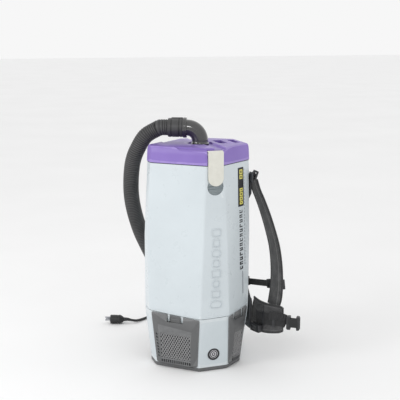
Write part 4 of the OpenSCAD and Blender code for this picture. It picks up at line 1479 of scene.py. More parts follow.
@dataclass
class Latch(SubAssembly):
    """A cream latch: knuckle, sloped head and a flat plate with a half-round foot."""

    side: Side = Side.RIGHT
    width: float = 45.4
    pin: Pair = (134.5, 654)
    face: Pair = (138.7, 143.7)
    foot: float = 560
    knuckle_r: float = 6.5

    def build(self) -> None:
        """Makes the latch."""
        x, z = self.pin
        low, high = self.face
        across = moved(x, 0, z) @ Z_TO_FRONT
        half = self.width / 2
        plate = slab("plate", latch_outline(half, self.foot, z + 1), low, high, Z_TO_RIGHT)
        reach = high - x
        head = slab("head", [(0, -4), (reach, -4), (reach, 0.6), (reach - 4.2, 4.4), (0, 4.4)],
            -half, half, across)
        combine(plate, [head], "UNION")
        round_edges(plate, 1.0, 3)
        knuckle = slab("knuckle", circle(self.knuckle_r, 64), -half, half, across, 0.9)
        cut(knuckle, slab("bore", circle(2.06, 48), -40, 40, across))
        whole = join(f"latch_moulding_{self.side.label}", [plate, knuckle])
        move_mesh(whole, on_side(self.side))
        node = f"latch_{self.side.label}"
        self.keep(whole, "latch_abs", "latch_ivory", node, body=node)


@dataclass
class ElbowAndHose(SubAssembly):
    """The swivelling elbow, the hose cuff, the ribbed hose and its end cuff."""

    elbow_y: float = 2
    turn: float = 24
    foot: float = 661.4
    bend: float = 38
    riser: float = 12
    tube_r: float = 24
    hose_d: float = 48
    rib_pitch: float = 6.0
    rib_depth: float = 1.5
    route: tuple[Point, ...] = ((-55, -112, 707), (-70, -146, 684), (-85, -168, 642),
        (-98, -177, 608), (-110, -179, 575), (-122, -178, 543), (-134, -175, 510),
        (-146, -169, 476), (-158, -160, 442), (-170, -148, 406), (-182, -131, 362),
        (-192, -106, 310), (-200, -76, 250), (-205, -45, 190), (-209, -14, 136), (-216, 26, 86),
        (-228, 72, 48), (-249, 126, 26.5), (-288, 174, 24.1), (-345, 204, 24.1), (-408, 215, 24.1),
        (-452, 214, 24.1))

    def at(self, distance: float, z: float) -> Vector:
        """Gives the point a distance out from the elbow's axis towards its outlet."""
        a = radians(self.turn)
        return Vector((-sin(a) * distance, self.elbow_y - cos(a) * distance, z))

    @property
    def outlet_z(self) -> float:
        """Height of the outlet's axis."""
        return self.foot + self.riser + self.bend

    def outlet(self) -> Matrix:
        """Gives a frame on the elbow's axis at the outlet's height, Z looking out of it."""
        out = self.at(1, 0) - self.at(0, 0)
        return frame_at(self.at(0, self.outlet_z), out.cross(UP), out)

    def build(self) -> None:
        """Makes the elbow, the cuffs and the hose."""
        upright = moved(0, self.elbow_y, 0)
        z0 = self.foot
        flange = turned("flange", [(18, 585), (21, 585), (21, z0 - 22), (21, z0), (26.2, z0),
            (27, z0 + 0.8), (27, z0 + 4), (26, z0 + 5), (24.6, z0 + 5.6), (24, z0 + 7),
            (24, z0 + 12), (21, z0 + 12), (21, z0 + 2), (18, z0 - 2)], upright, 96)
        arc = [self.at(self.bend * (1 - cos(a)), z0 + self.riser + self.bend * sin(a))
            for a in (pi / 2 * k / 24 for k in range(25))]
        path = [self.at(0, z0 + self.riser - 1)] + arc + [self.at(self.bend + 2, self.outlet_z)]
        walls = [sweep(path, Vector((1, 0, 0)), lambda s, d: circle(r, 64), caps=False)
            for r in (self.tube_r, self.tube_r - 3)]
        b = self.bend
        collar = turned("collar", [(21, b), (25, b), (28.6, b + 0.6), (30, b + 2), (30, b + 10.8),
            (29.2, b + 12), (23.2, b + 12), (23.2, b + 3), (21, b + 3)], self.outlet(), 96)
        bead = turned("bead", [(30, b + 5), (30.6, b + 5.4), (30.6, b + 7.4), (30, b + 7.8),
            (29.4, b + 6.4)], self.outlet(), 96)
        self.keep(join("elbow_moulding", [flange, made("bend", *walls), collar, bead]),
            "elbow_gloss", "elbow_gloss", "elbow", body="elbow")
        self.cuff()
        self.hose()

    def cuff(self) -> None:
        """Makes the stepped vinyl cuff with its thumb ridge."""
        a, b = self.bend + 12.4, self.bend + 56.4
        profile = [(21, a - 9), (22.9, a - 9), (22.9, a), (26.6, a), (28, a + 1.4), (28, a + 8),
            (27.1, a + 9), (27.1, a + 11), (28, a + 12), (28, b - 13), (27.1, b - 12),
            (27.1, b - 10), (28, b - 9), (28, b - 2), (26.6, b - 0.3), (24, b), (21, b - 1)]
        body = turned("body", profile, self.outlet(), 96)
        ridge = slab("ridge", rounded_rectangle(8, 34, 3.8), -30, -25, self.outlet()
            @ moved(0, 0, a + 17) @ Z_TO_BACK, 1.3)
        self.keep(join("cuff_moulding", [body, ridge]), "cuff_vinyl", "cuff_plastic", "hose_cuff",
            body="cuff")

    def hose(self) -> None:
        """Makes the spiral-ribbed hose along its route, and the plain cuff at its far end."""
        points = [self.at(94.4, self.outlet_z), self.at(114.4, self.outlet_z)] + [Vector(p)
            for p in self.route]
        line = even(spline(points, 3), 1.25)
        r = self.hose_d / 2

        def ribbed(share: float, far: float) -> Outline:
            """Gives the ribbed outline, whose crest turns round the hose as it advances."""
            outline = []
            for k in range(30):
                turn = k / 30
                wave = 0.5 + 0.5 * cos(tau * (far / self.rib_pitch - turn))
                radius = r - self.rib_depth * (1 - wave ** 0.7)
                outline.append((radius * cos(tau * turn), radius * sin(tau * turn)))
            return outline

        hose = made("hose_tube", sweep(line, UP, ribbed), crease=70)
        self.paints.dress(hose, "hose_vinyl")
        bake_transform(hose)
        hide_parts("hose")
        end, before = line[-1], line[-6]
        place = frame_at(end, UP.cross(end - before), end - before)
        profile = [(19, -14), (23.2, -14), (23.6, -12.6), (23.6, 0), (22.4, 2), (22.4, 52),
            (23.4, 54), (23.4, 60), (22.6, 61.8), (19.4, 61.8), (19, 60)]
        cuff = turned("end_cuff_moulding", profile, place, 72)
        self.keep(cuff, "cuff_vinyl", "cuff_plastic", "hose_end_cuff", body="lid")


def even(line: Line, step: float) -> list[Vector]:
    """Spaces the points of a line evenly.

    Args:
        line: Points of the line.
        step: Spacing of the new points.

    Returns:
        New points with the same ends.
    """
    lengths = [0.0]
    for a, b in zip(line, line[1:]):
        lengths.append(lengths[-1] + (b - a).length)
    count = max(int(lengths[-1] / step), 1)
    points, i = [], 0
    for k in range(count + 1):
        s = lengths[-1] * k / count
        while i < len(lengths) - 2 and lengths[i + 1] < s:
            i += 1
        points.append(line[i].lerp(line[i + 1], (s - lengths[i]) / (lengths[i + 1] - lengths[i])))
    return points


@dataclass
class PowerLead(SubAssembly):
    """The short power lead with its gland, bend relief and plug."""

    cord_d: float = 8.5
    gland: Pair = (-40, 24)
    gland_len: float = 14
    route: tuple[Point, ...] = ((-41, 134, 18), (-52, 152, 8), (-84, 158, 4.4), (-122, 138, 4.4),
        (-152, 98, 4.4), (-172, 48, 4.4), (-196, -2, 4.4), (-240, -22, 4.4), (-296, -2, 4.4),
        (-348, 14, 4.4), (-388, -4, 4.4), (-402, -42, 4.4), (-384, -74, 5), (-367, -104, 8),
        (-370, -133, 15))
    plug: tuple[Point, Point] = ((-370, -133, 15), (-391, -188, 15))

    def build(self) -> None:
        """Makes the lead."""
        x, z = self.gland
        wall = self.form.level(z, BACK)
        start = Vector((x, wall + self.gland_len, z))
        line = even(spline([start] + [Vector(p) for p in self.route], 3), 3)
        lead = made("lead_cable", sweep(line, UP, lambda s, d: circle(self.cord_d / 2, 20)),
            crease=50)
        self.keep(lead, "cord_rubber", "cord_rubber", "cord")
        base = moved(x, wall, z) @ Z_TO_BACK
        collar = turned("collar", [(4.6, -8), (7.9, -8), (7.9, 0), (10.4, 0), (11, 0.8), (11, 3.2),
            (10, 4), (4.6, 4)], base, 48)
        boot = self.boot("boot", [Vector((x, wall + 3, z))] + line[:6], (7.6, 5.2), 4)
        gland = self.keep(join("gland_boot", [collar, boot]), "black_rubber", "black_rubber",
            "cord_gland")
        a, b = Vector(self.plug[0]), Vector(self.plug[1])
        place = frame_at(a, UP, b - a)
        end = (b - a).length
        body = turned("body", [(0, 13), (7.6, 13), (9.2, 15.4), (13.6, 21.6), (15, 24.6), (15, 30),
            (14.2, 31), (14.2, 34), (15, 35), (15, end - 2), (13.8, end - 0.2), (0, end)], place,
            64)
        relief = self.boot("relief", line[-4:] + [a + (b - a).normalized() * 15], (5.2, 7.4), 4)
        plug = self.keep(join("plug_moulding", [body, relief]), "cord_rubber", "black_rubber",
            "plug_body")
        blades = []
        for s in (-1, 1):
            outline = rounded_rectangle(1.5, 6.4, 0.6)
            blades.append(slab("blade", outline, end - 0.5, end + 17, place @ moved(0, s * 6.35, 0)
                @ Matrix.Rotation(pi / 2, 4, "Z"), 0.4))
        blades.append(turned("earth", [(0, end - 0.5), (2.4, end - 0.5), (2.4, end + 17),
            (1.6, end + 18.8), (0, end + 19)], place @ moved(7, 0, 0), 32))
        pins = self.keep(join("plug_contacts", blades), "bright_steel", "brass_part", "plug_blades")

    def boot(self, name: str, line: Line, radii: Pair, rings: int) -> Thing:
        """Makes a ribbed, tapering bend relief round the lead.

        Args:
            name: Name of the object.
            line: Points along its middle.
            radii: Radius at its two ends.
            rings: Number of raised rings.

        Returns:
            The new object.
        """
        path = even(line, 0.8)

        def stepped(share: float, far: float) -> Outline:
            """Gives the outline with its rings."""
            crest = max(0.0, cos(tau * rings * share)) ** 0.6
            return circle(mix(radii[0], radii[1], share) * (0.88 + 0.12 * crest), 28)

        return made(name, sweep(path, UP, stepped), crease=50)


@dataclass(frozen=True)
class HarnessSizes:
    """Sizes of the harness in millimetres; lines give sideways, out from the plate and up."""

    plate_y: float = 139.5
    plate_t: float = 4
    pad_w: float = 60
    pad_t: float = 11
    web_w: float = 20
    strap_twist: float = 16
    sternum_lift: Pair = (6, 10)
    belt_web_w: float = 38
    web_t: float = 1.8
    wing_h: float = 104
    wing_t: float = 12
    # Rows of a shoulder pad's middle line: sideways, out on the right, out on the left, up
    strap: Rows = ((62, 5.5, 5.5, 558), (66, 13, 11, 528), (71, 26, 18, 494), (77, 40, 25, 452),
        (83, 53, 30, 406), (90, 64, 34, 356), (96, 69, 36, 304), (101, 69, 37, 250),
        (104, 65, 36, 208), (105, 58, 34, 176))
    wing: dict = field(default_factory=lambda: {Side.RIGHT: ((44, 20.2, 138), (74, 22, 138),
        (106, 32, 139), (130, 48, 141), (146, 70, 142)),
        Side.LEFT: ((-44, 20.2, 138), (-76, 21, 138), (-108, 25, 139), (-138, 33, 141),
        (-162, 45, 142))})

    @property
    def face_y(self) -> float:
        """Depth of the plate's outer face."""
        return self.plate_y + self.plate_t

    def strap_line(self, side: Side) -> list[Vector]:
        """Gives the middle line of a shoulder pad."""
        return [Vector((side.value * x, (right if side is Side.RIGHT else left) + self.face_y, z))
            for x, right, left, z in self.strap]

    def strap_side(self, side: Side) -> Vector:
        """Gives a shoulder strap's sideways direction; its outer edge turns off the body."""
        a = radians(self.strap_twist)
        return Vector((-cos(a), -side.value * sin(a), 0))

    def wing_line(self, side: Side) -> list[Vector]:
        """Gives the middle line of a waist pad."""
        return [Vector((x, y + self.face_y, z)) for x, y, z in self.wing[side]]


def padded_outline(w: float, t: float, lip: float = 4.6, steps: int = 12) -> Outline:
    """Gives the outline of a foam pad whose edges are sewn flat and whose faces are crowned.

    Args:
        w: Width.
        t: Thickness in the middle.
        lip: Thickness of the bound edge.
        steps: Segments across each face.

    Returns:
        Points of the outline, from the +X edge over the outer face.
    """
    half = w / 2
    top = []
    for k in range(steps + 1):
        a = half * cos(pi * k / steps)
        inner = max(0.0, 1 - (abs(a) / (half - 4.5)) ** 3.2) if abs(a) < half - 4.5 else 0.0
        rim = lip / 2 * sqrt(max(0.0, 1 - max(0.0, (abs(a) - half + lip / 2) / (lip / 2)) ** 2))
        top.append((a, rim + (t / 2 - lip / 2) * smooth(inner) if inner else rim))
    return top + [(a, -b) for a, b in reversed(top[1:-1])]


def strip_outline(w: float, t: float) -> Outline:
    """Gives the outline of flat webbing with soft edges."""
    return rounded_rectangle(w, t, t * 0.48, 3)


def tape_skin(line: Line, side: Vector, w: float, t: float) -> tuple:
    """Sweeps flat webbing of one width and thickness along a line, sideways as given."""
    return sweep(line, side, lambda share, far: strip_outline(w, t))


def rumple(piece: Thing, size: float, depth: float, seed: float = 0.0) -> None:
    """Gives a soft piece shallow waves and creases.

    Args:
        piece: The mesh object.
        size: Rough distance between waves.
        depth: Height of the waves.
        seed: Moves the pattern.
    """
    shift = Vector((seed, 2 * seed, -seed))
    normals = [v.normal.copy() for v in piece.data.vertices]
    for vertex, normal in zip(piece.data.vertices, normals):
        place = vertex.co / (size * MM) + shift
        wave = noise.noise(place) + 0.5 * noise.noise(place * 2.3)
        crease = 1 - abs(noise.noise(place * 0.8 + shift)) * 3
        vertex.co += normal * (wave + 0.5 * max(crease - 0.6, 0)) * depth * MM


@dataclass
class HarnessPart(SubAssembly):
    """A group of the harness, which shares its sizes."""

    sizes: HarnessSizes = field(default_factory=HarnessSizes)


@dataclass
class HarnessPlate(HarnessPart):
    """The stiff back plate that the harness hangs from, with its ribs."""

    screws: tuple[Pair, ...] = ((-36, 210), (36, 210), (-36, 540), (36, 540))

    def build(self) -> None:
        """Makes the plate and its bosses."""
        s = self.sizes
        half = [(64, 96), (64, 196), (28, 240), (26, 480), (62, 516), (62, 551), (74, 551),
            (74, 581), (50, 581), (50, 575)]
        outline = [(-64, 96)] + half + [(-x, z) for x, z in half[:0:-1]]
        turn = moved(0, s.plate_y + s.plate_t, 0) @ Z_TO_FRONT
        plate = slab("plate", outline, 0, s.plate_t, turn)
        round_edges(plate, 1.2, angle=40.0)
        parts = [plate]
        for x, z in self.screws:
            y = self.form.level(z, BACK)
            parts.append(slab("boss", circle(7, 40), 0, s.plate_y - y + 1, moved(x, y, z)
                @ Z_TO_BACK, 0.4))
        for x in (-14, 0, 14):
            parts.append(box("rib", (x - 1.4, s.plate_y - 1.6, 250),
                (x + 1.4, s.plate_y + 0.5, 470), edge=0.5))
            parts.append(box("rib", (x - 1.4, s.face_y - 0.5, 250), (x + 1.4, s.face_y + 1.6, 470),
                edge=0.5))
        self.keep(join("plate_moulding", parts), "plate_polypropylene", "harness_plastic",
            "harness_plate")


@dataclass
class ShoulderStrap(HarnessPart):
    """A curved foam shoulder pad with bound edges, its middle band and the webbing over it."""

    side: Side = Side.RIGHT

    def build(self) -> None:
        """Makes the pad, its binding and its webbing."""
        s, side, word = self.sizes, self.side, self.side.label
        line = even(spline(s.strap_line(side), 6), 4)
        across = s.strap_side(side)

        def width(share: float) -> float:
            """Gives the pad's width at a share of its length."""
            return s.pad_w * mix(0.62, 1.0, min(1.0, share * 1.05)) * (1 - 0.06
                * smooth((share - 0.93) / 0.07))

        body = made(f"shoulder_pad_{word}",
            sweep(line, across, lambda q, d: padded_outline(width(q), s.pad_t
            * (1 - 0.35 * smooth((q - 0.94) / 0.06)))), crease=60)
        rumple(body, 26, 0.7, 3.0 if side is Side.LEFT else 0.0)
        self.keep(body, "pad_nylon", "pad_fabric", f"strap_{word}")
        tapes = [sweep(line, across, lambda q, d: [(end * (width(q) / 2 - 2.6) + a, b)
            for a, b in rounded_rectangle(6.2, 6.0, 2.4, 4)]) for end in (-1, 1)]
        tape = made(f"shoulder_binding_{word}", *tapes, crease=50)
        self.keep(tape, "binding_tape", "pad_fabric")
        band = made(f"shoulder_band_{word}",
            sweep(line[3:-3], across,
            lambda q, d: [(a, b + s.pad_t / 2 - 0.2) for a, b in strip_outline(width(q) * 0.42,
            1.8)]), crease=50)
        self.keep(band, "band_mesh", "pad_fabric")
        self.webbing(line, across, word)

    def webbing(self, line: list[Vector], across: Vector, word: str) -> None:
        """Makes the load webbing over the pad with its loose, hemmed end."""
        s = self.sizes
        ridden = []
        frames = carried(line, across)
        for i in range(4, int(len(line) * 0.5), 3):
            lift = s.pad_t / 2 + 2.0 + (0.4 if i % 2 else 0.0)
            ridden.append(line[i] + frames[i][2] * lift)
        last = ridden[-1]
        ridden += [last + Vector((0, 6.0, -13)), last + Vector((0, 8.5, -28)),
            last + Vector((0, 6.5, -42))]
        path = even(spline(ridden, 4), 3)
        tail = path[-1]
        hem = [tail + UP, tail + Vector((0, -0.3, -4.5))]
        web = made(f"lifter_webbing_{word}", tape_skin(path, across, s.web_w, s.web_t),
            tape_skin(hem, across, s.web_w + 0.8, s.web_t + 2.2), crease=50)
        self.keep(web, "strap_webbing", "webbing", f"lifter_web_{word}")


@dataclass
class StrapHardware(HarnessPart):
    """The ladder-lock buckles above and below the shoulder pads with short webbing in them."""

    def build(self) -> None:
        """Makes the four buckles and the webbing through them."""
        s, locks, webs = self.sizes, [], []
        for side in Side:
            line = s.strap_line(side)
            twist = Matrix.Rotation(side.value * radians(s.strap_twist), 4, "Z")
            top = Matrix.Translation(line[0] + Vector((0, 4, 14))) @ tipped(70)
            foot = Matrix.Translation(line[-1] + Vector((0, -2, -20))) @ twist @ tipped(108)
            locks += [self.ladder_lock(top), self.ladder_lock(foot)]
            anchor = Vector((line[0].x, s.face_y + 1, 588 - 10))
            upper = [anchor, line[0] + Vector((0, 1, 22)), line[0] + Vector((0, 2.5, 12)), line[0]
                + Vector((0, 0, -6))]
            low = [line[-1] + Vector((0, 0, 6)), line[-1] + Vector((0, -2, -12)), line[-1]
                + Vector((0, -3, -30))]
            webs.append(made("web",
                *(tape_skin(even(spline(points, 5), 3), Vector((-1, 0, 0)), s.web_w, s.web_t)
                for points in (upper, low)), crease=50))
        self.keep(join("ladder_locks", locks), "buckle_acetal", "harness_plastic", "strap_hardware")
        self.keep(join("buckle_webbing", webs), "strap_webbing", "webbing")

    def ladder_lock(self, place: Matrix) -> Thing:
        """Makes one ladder-lock buckle with a lifted thumb lip."""
        lock = slab("lock", rounded_rectangle(30, 26, 4, 6), -3.2, 3.2)
        cut(lock, *(box("bar", (-11, y - 2.2, -10), (11, y + 2.2, 10)) for y in (-5, 5)))
        round_edges(lock, 1.1)
        lip = slab("lip", rounded_rectangle(22, 5, 2.2), 1.5, 4.6, moved(0, 11, 0), 1.0)
        whole = join("lock_whole", [lock, lip])
        move_mesh(whole, place)
        return whole


@dataclass
class SternumStrap(HarnessPart):
    """The strap across the chest: two slide clips, a side-release buckle and its webbing."""

    def build(self) -> None:
        """Makes the strap's pieces."""
        s = self.sizes
        lift = s.sternum_lift
        a = s.strap_line(Side.RIGHT)[7] + Vector((0, s.pad_t / 2 + lift[0], -13))
        b = s.strap_line(Side.LEFT)[8] + Vector((0, s.pad_t / 2 + lift[1], -13))
        place = frame_at(a, b - a, (0, 0, 1))
        length = (b - a).length
        clips = []
        for x, reach in ((0, lift[0]), (length, lift[1])):
            clip = box("clip", (x - 11, -11, -15), (x + 11, reach + 1.2, 15))
            cut(clip, box("web_gap", (x - 12, -1.5, -10.6), (x + 12, 1.5, 10.6)))
            round_edges(clip, 1.3)
            clips.append(clip)
        joined = join("sternum_slides", clips)
        move_mesh(joined, place)
        self.keep(joined, "buckle_acetal", "harness_plastic", "sternum_clips")
        female = slab("female", rounded_rectangle(26, 30, 4, 6), -5.5, 5.5, moved(44, 0, 0)
            @ Z_TO_FRONT)
        cut(female, box("socket", (35, -3.4, -12), (58, 3.4, 12)),
            box("window", (38, -8, 8), (50, 8, 20)), box("window", (38, -8, -20), (50, 8, -8)))
        round_edges(female, 1.0)
        male = slab("male", rounded_rectangle(13.6, 28, 3.4, 6), -5.5, 5.5, moved(64.2, 0, 0)
            @ Z_TO_FRONT, 1.2)
        prongs = [box("prong", (39, -2.6, z - 2.4), (58.5, 2.6, z + 2.4), edge=1.0)
            for z in (-9, 0, 9)]
        for piece, name, node, body in ((female, "sternum_socket", "sternum_female", "body"),
                (join("tongue", [male] + prongs), "sternum_tongue", "sternum_male", "sternum")):
            piece.name = name
            move_mesh(piece, place)
            self.keep(piece, "buckle_acetal", "harness_plastic", node, body=body)
        for name, low, high, body in (("sternum_web_short", -16, 32, "body"),
                ("sternum_web_long", 70, length - 6, "sternum")):
            line = [place @ Vector((mix(low, high, k / 20), 0.7 * sin(pi * k / 20) * (high > 100),
                0)) for k in range(21)]
            web = made(name, tape_skin(line, UP, s.web_w, s.web_t), crease=50)
            self.keep(web, "strap_webbing", "webbing", body=body)


@dataclass
class WaistBelt(HarnessPart):
    """The lumbar pad and the two waist pads with their binding, webbing and buckles."""

    def build(self) -> None:
        """Makes the belt's pieces."""
        self.lumbar()
        for side in Side:
            self.waist_pad(side)
        self.buckles()

    def lumbar(self) -> None:
        """Makes the lumbar pad: a stuffed cover with two sewn channels."""
        s = self.sizes
        w, h, t, mid_z = 112.0, 100.0, 14.0, 140
        nx, nz, rim_t = 44, 40, 1.2  # cells across and up, half thickness at the seam
        maker = MeshMaker()
        for face in (1, -1):
            verts, faces, maps = [], [], []
            for j in range(nz + 1):
                for i in range(nx + 1):
                    u, v = 2 * i / nx - 1, 2 * j / nz - 1
                    x, z = u * w / 2, v * h / 2
                    # Round the corners of the cover by squeezing the grid
                    x *= sqrt(max(0.0, 1 - 0.16 * v ** 4 * u * u))
                    z *= sqrt(max(0.0, 1 - 0.16 * u ** 4 * v * v))
                    puff = max(0.0, 1 - abs(u) ** 3.6) ** 0.5 * max(0.0, 1 - abs(v) ** 3.6) ** 0.5
                    for seam in (-0.34, 0.34):
                        puff *= 1 - 0.55 * exp(-((u - seam) / 0.045) ** 2)
                    verts.append(Vector(
                        (x, s.face_y + t / 2 + face * (rim_t + (t / 2 - rim_t) * puff), mid_z + z)))
            for j in range(nz):
                for i in range(nx):
                    k = j * (nx + 1) + i
                    quad = [k, k + 1, k + nx + 2, k + nx + 1]
                    faces.append(quad)
                    maps.append([(verts[q].x + 60, verts[q].z) for q in quad])
            maker.add(verts, faces, maps)
        n = (nx + 1) * (nz + 1)
        rim = list(range(nx + 1)) + [(j + 1) * (nx + 1) - 1 for j in range(1, nz + 1)]
        rim += [nz * (nx + 1) + i for i in range(nx - 1, -1, -1)] + [j * (nx + 1)
            for j in range(nz - 1, 0, -1)]
        for a, b in zip(rim, rim[1:] + rim[:1]):
            maker.faces.append([a, b, b + n, a + n])
            maker.maps.append([(0.0, 0.0)] * 4)
        pad = maker.build("lumbar_cover", 75)
        rumple(pad, 22, 0.6)
        self.keep(pad, "wing_nylon", "pad_fabric", "lumbar_pad")

    def waist_pad(self, side: Side) -> None:
        """Makes one waist pad with its binding, piping and webbing."""
        s, word = self.sizes, side.label
        line = even(spline(s.wing_line(side), 6), 3.5)
        across = UP * (1 if side is Side.RIGHT else -1)

        def width(share: float) -> float:
            """Gives the pad's height at a share of its length."""
            return s.wing_h * mix(1.0, 0.8, share ** 1.2) * (1 - 0.07 * smooth((share - 0.9) / 0.1))

        body = made(f"waist_cover_{word}",
            sweep(line, across, lambda q, d: padded_outline(width(q), s.wing_t
            * (1 - 0.4 * smooth((q - 0.92) / 0.08)), 4.4, 22)), crease=60)
        rumple(body, 20, 1.0, 1.0 if side is Side.LEFT else 5.0)
        self.keep(body, "wing_nylon", "pad_fabric", f"wing_{word}")
        tapes = [sweep(line, across, lambda q, d: [(end * (width(q) / 2 - 2.6) + a, b)
            for a, b in rounded_rectangle(6.4, 5.8, 2.3, 4)]) for end in (-1, 1)]
        piping = [mix(0.62, -0.28, k / (len(line) - 1)) for k in range(len(line))]
        tape_line = [p + across * (piping[i] * 8) for i, p in enumerate(line)]
        tapes.append(sweep(tape_line[2:-2], across,
            lambda q, d: [(a - 0.12 * s.wing_h, b + s.wing_t / 2 - 0.4)
            for a, b in circle(1.8, 10)]))
        tip, toward = line[-1], (line[-1] - line[-4]).normalized()
        reach = across * (width(1) / 2 - 2)
        tapes.append(sweep([tip - reach, tip + toward * 0.3, tip + reach], toward,
            lambda q, d: rounded_rectangle(5.4, 5.8, 2.2, 4)))
        tape = made(f"waist_binding_{word}", *tapes, crease=50)
        self.keep(tape, "binding_tape", "pad_fabric")
        self.belt(side, line, across)

    def belt(self, side: Side, line: list[Vector], across: Vector) -> None:
        """Makes the waist webbing along a pad's outer face and past its tip, with its keeper."""
        s, word = self.sizes, side.label
        frames = carried(line, across)
        outer = [p + frames[i][2] * (s.wing_t / 2 + 1.2) for i, p in enumerate(line)][8:]
        ahead = (line[-1] - line[-3]).normalized()
        outer += [line[-1] + ahead * 6 + frames[-1][2] * 4 + Vector((0, 0, -4)), line[-1] + ahead
            * 13 + Vector((0, 0, -8))]
        path = even(spline(outer[::3] + [outer[-2], outer[-1]], 3), 3)
        web = made(f"waist_webbing_{word}", tape_skin(path, across, s.belt_web_w, s.web_t),
            crease=50)
        self.keep(web, "strap_webbing", "webbing", f"belt_web_{word}")
        self.details(side, path, across)
        keepers = []
        for k in (int(len(path) * 0.3), int(len(path) * 0.62)):
            f = carried(path, across)[k]
            place = Matrix((f[1], f[0], f[2])).transposed().to_4x4()
            place.translation = path[k]
            keeper = slab("keeper", rounded_rectangle(s.belt_web_w + 7, 9, 2.4), -2.6, 2.6)
            cut(keeper, box("gap", (-s.belt_web_w / 2 - 0.4, -8, -1.3),
                (s.belt_web_w / 2 + 0.4, 8, 1.3)))
            round_edges(keeper, 0.8)
            move_mesh(keeper, place)
            keepers.append(keeper)
        self.keep(join(f"webbing_keepers_{word}", keepers), "buckle_acetal", "harness_plastic")

    def details(self, side: Side, path: list[Vector], across: Vector) -> None:
        """Makes the folded slack of the webbing along its path and the patch near its root."""
        word, frames, count = side.label, carried(path, across), len(path)
        slack = []
        for i in range(int(count * 0.52), count - 2):
            lift = 3.4 + 3.0 * abs(sin(1.15 * i))
            slack.append(path[i] + frames[i][2] * lift + Vector((0, 0, 13)))
        fold = made(f"webbing_slack_{word}", sweep(even(spline(slack, 3), 2), across,
            lambda q, d: strip_outline(26 - 5 * q, 1.7)), crease=50)
        self.keep(fold, "strap_webbing", "webbing")
        line = [path[i] + frames[i][2] * 0.5 + Vector((0, 0, 29))
            for i in range(int(count * 0.06), int(count * 0.34))]
        patch = made(f"waist_patch_{word}", tape_skin(line, across, 22, 2.6), crease=50)
        self.keep(patch, "binding_tape", "pad_fabric")

    def buckles(self) -> None:
        """Makes the two halves of the waist buckle."""
        s, halves = self.sizes, []
        for side in Side:
            line = s.wing_line(side)
            ahead = (line[-1] - line[-2]).normalized()
            place = frame_at(line[-1] + ahead * 12 + Vector((0, 0, -8)),
                Vector((ahead.x, ahead.y, 0)), (0, 0, 1))
            if side is Side.LEFT:
                half = slab("half", rounded_rectangle(16, 38, 4, 6), -7, 7, moved(8, 0, 0)
                    @ Z_TO_FRONT, 2.2)
                prongs = [box("prong", (12, -3.4, z - 3.6), (34, 3.4, z + 3.6), edge=1.6)
                    for z in (-13, 0, 13)]
                half = join("half", [half] + prongs)
            else:
                half = slab("half", rounded_rectangle(40, 42, 5, 6), -8, 8, moved(20, 0, 0)
                    @ Z_TO_FRONT)
                cut(half, box("socket", (6, -4.5, -17), (46, 4.5, 17)),
                    box("window", (12, -9, 13), (30, 9, 30)),
                    box("window", (12, -9, -30), (30, 9, -13)))
                round_edges(half, 1.8)
            move_mesh(half, place)
            halves.append(half)
        self.keep(join("waist_buckle", halves), "buckle_acetal", "harness_plastic", "belt_buckles")


@dataclass
class BeltSwitch(HarnessPart):
    """The on-off switch box on the right waist pad with its rocker."""

    def build(self) -> None:
        """Makes the switch."""
        spot = self.sizes.wing_line(Side.RIGHT)[1] + Vector((14, -9, -32))
        place = Matrix.Translation(spot) @ tipped(18, "Z")
        case = box("case", (-20, -14, -12), (20, 5, 12))
        round_edges(case, 3.2, 3)
        cut(case, box("opening", (-11, -16, -7), (11, -5, 7)))
        frame = slab("frame", rounded_rectangle(27, 19, 3), -15, -13.4, Z_TO_BACK)
        cut(frame, box("opening", (-11, -40, -7), (11, 40, 7)))
        whole = join("switch_case", [case, frame])
        move_mesh(whole, place)
        self.keep(whole, "buckle_acetal", "harness_plastic", "switch_box")
        profile = [(-4, -6), (3, -6), (2.2, -3.6), (0.9, -1.2), (0.5, 0), (0.9, 1.2), (2.2, 3.6),
            (3, 6), (-4, 6)]
        rings = [[Vector((x, -10 - a, b)) for a, b in profile] for x in (-10, -9.4, 9.4, 10)]
        paddle = made("switch_paddle", skin(rings), crease=30)
        round_edges(paddle, 0.5)
        move_mesh(paddle, place)
        self.keep(paddle, "rocker_grey", "switch_red", "switch_rocker", body="rocker")


@dataclass
class Interior(SubAssembly):
    """The frame's own motor, filter, bag and fastening pieces, which keep their shape."""

    finishes: dict = field(
        default_factory=lambda: {"motor_deck": ("plate_polypropylene", "deck_plastic"),
        "deck_gasket": ("black_rubber", "black_rubber"),
        "dome_filter": ("filter_cloth", "filter_white"),
        "fan_housing": ("spun_aluminium", "motor_alu"), "motor_can": ("motor_steel", "motor_steel"),
        "motor_mount": ("black_rubber", "black_rubber"),
        "brush_holders": ("plug_brass", "brass_part"), "armature": ("wound_copper", "copper"),
        "fan_rotor": ("spun_aluminium", "motor_alu"),
        "cloth_filter": ("filter_cloth", "filter_white"), "paper_bag": ("bag_paper", "bag_paper"),
        "bag_collar": ("collar_card", "card"),
        **{f"foam_{corner.value}_{side.label}": ("exhaust_foam", "foam_dark") for corner in Corner
        for side in Side}, "lid_gasket": ("black_rubber", "black_rubber"),
        "latch_pins": ("bright_steel", "steel_pin"), "elbow_retainer": ("motor_steel", "steel_pin"),
        "harness_screws": ("bright_steel", "steel_pin")})
    nodes: dict = field(default_factory=dict)

    def build(self) -> None:
        """Nothing is built: these pieces come with the frame."""

    def dress(self) -> None:
        """Gives each frame piece its finish."""
        for node, (finish, slot) in self.finishes.items():
            self.paints.dress(self.nodes[node], finish)


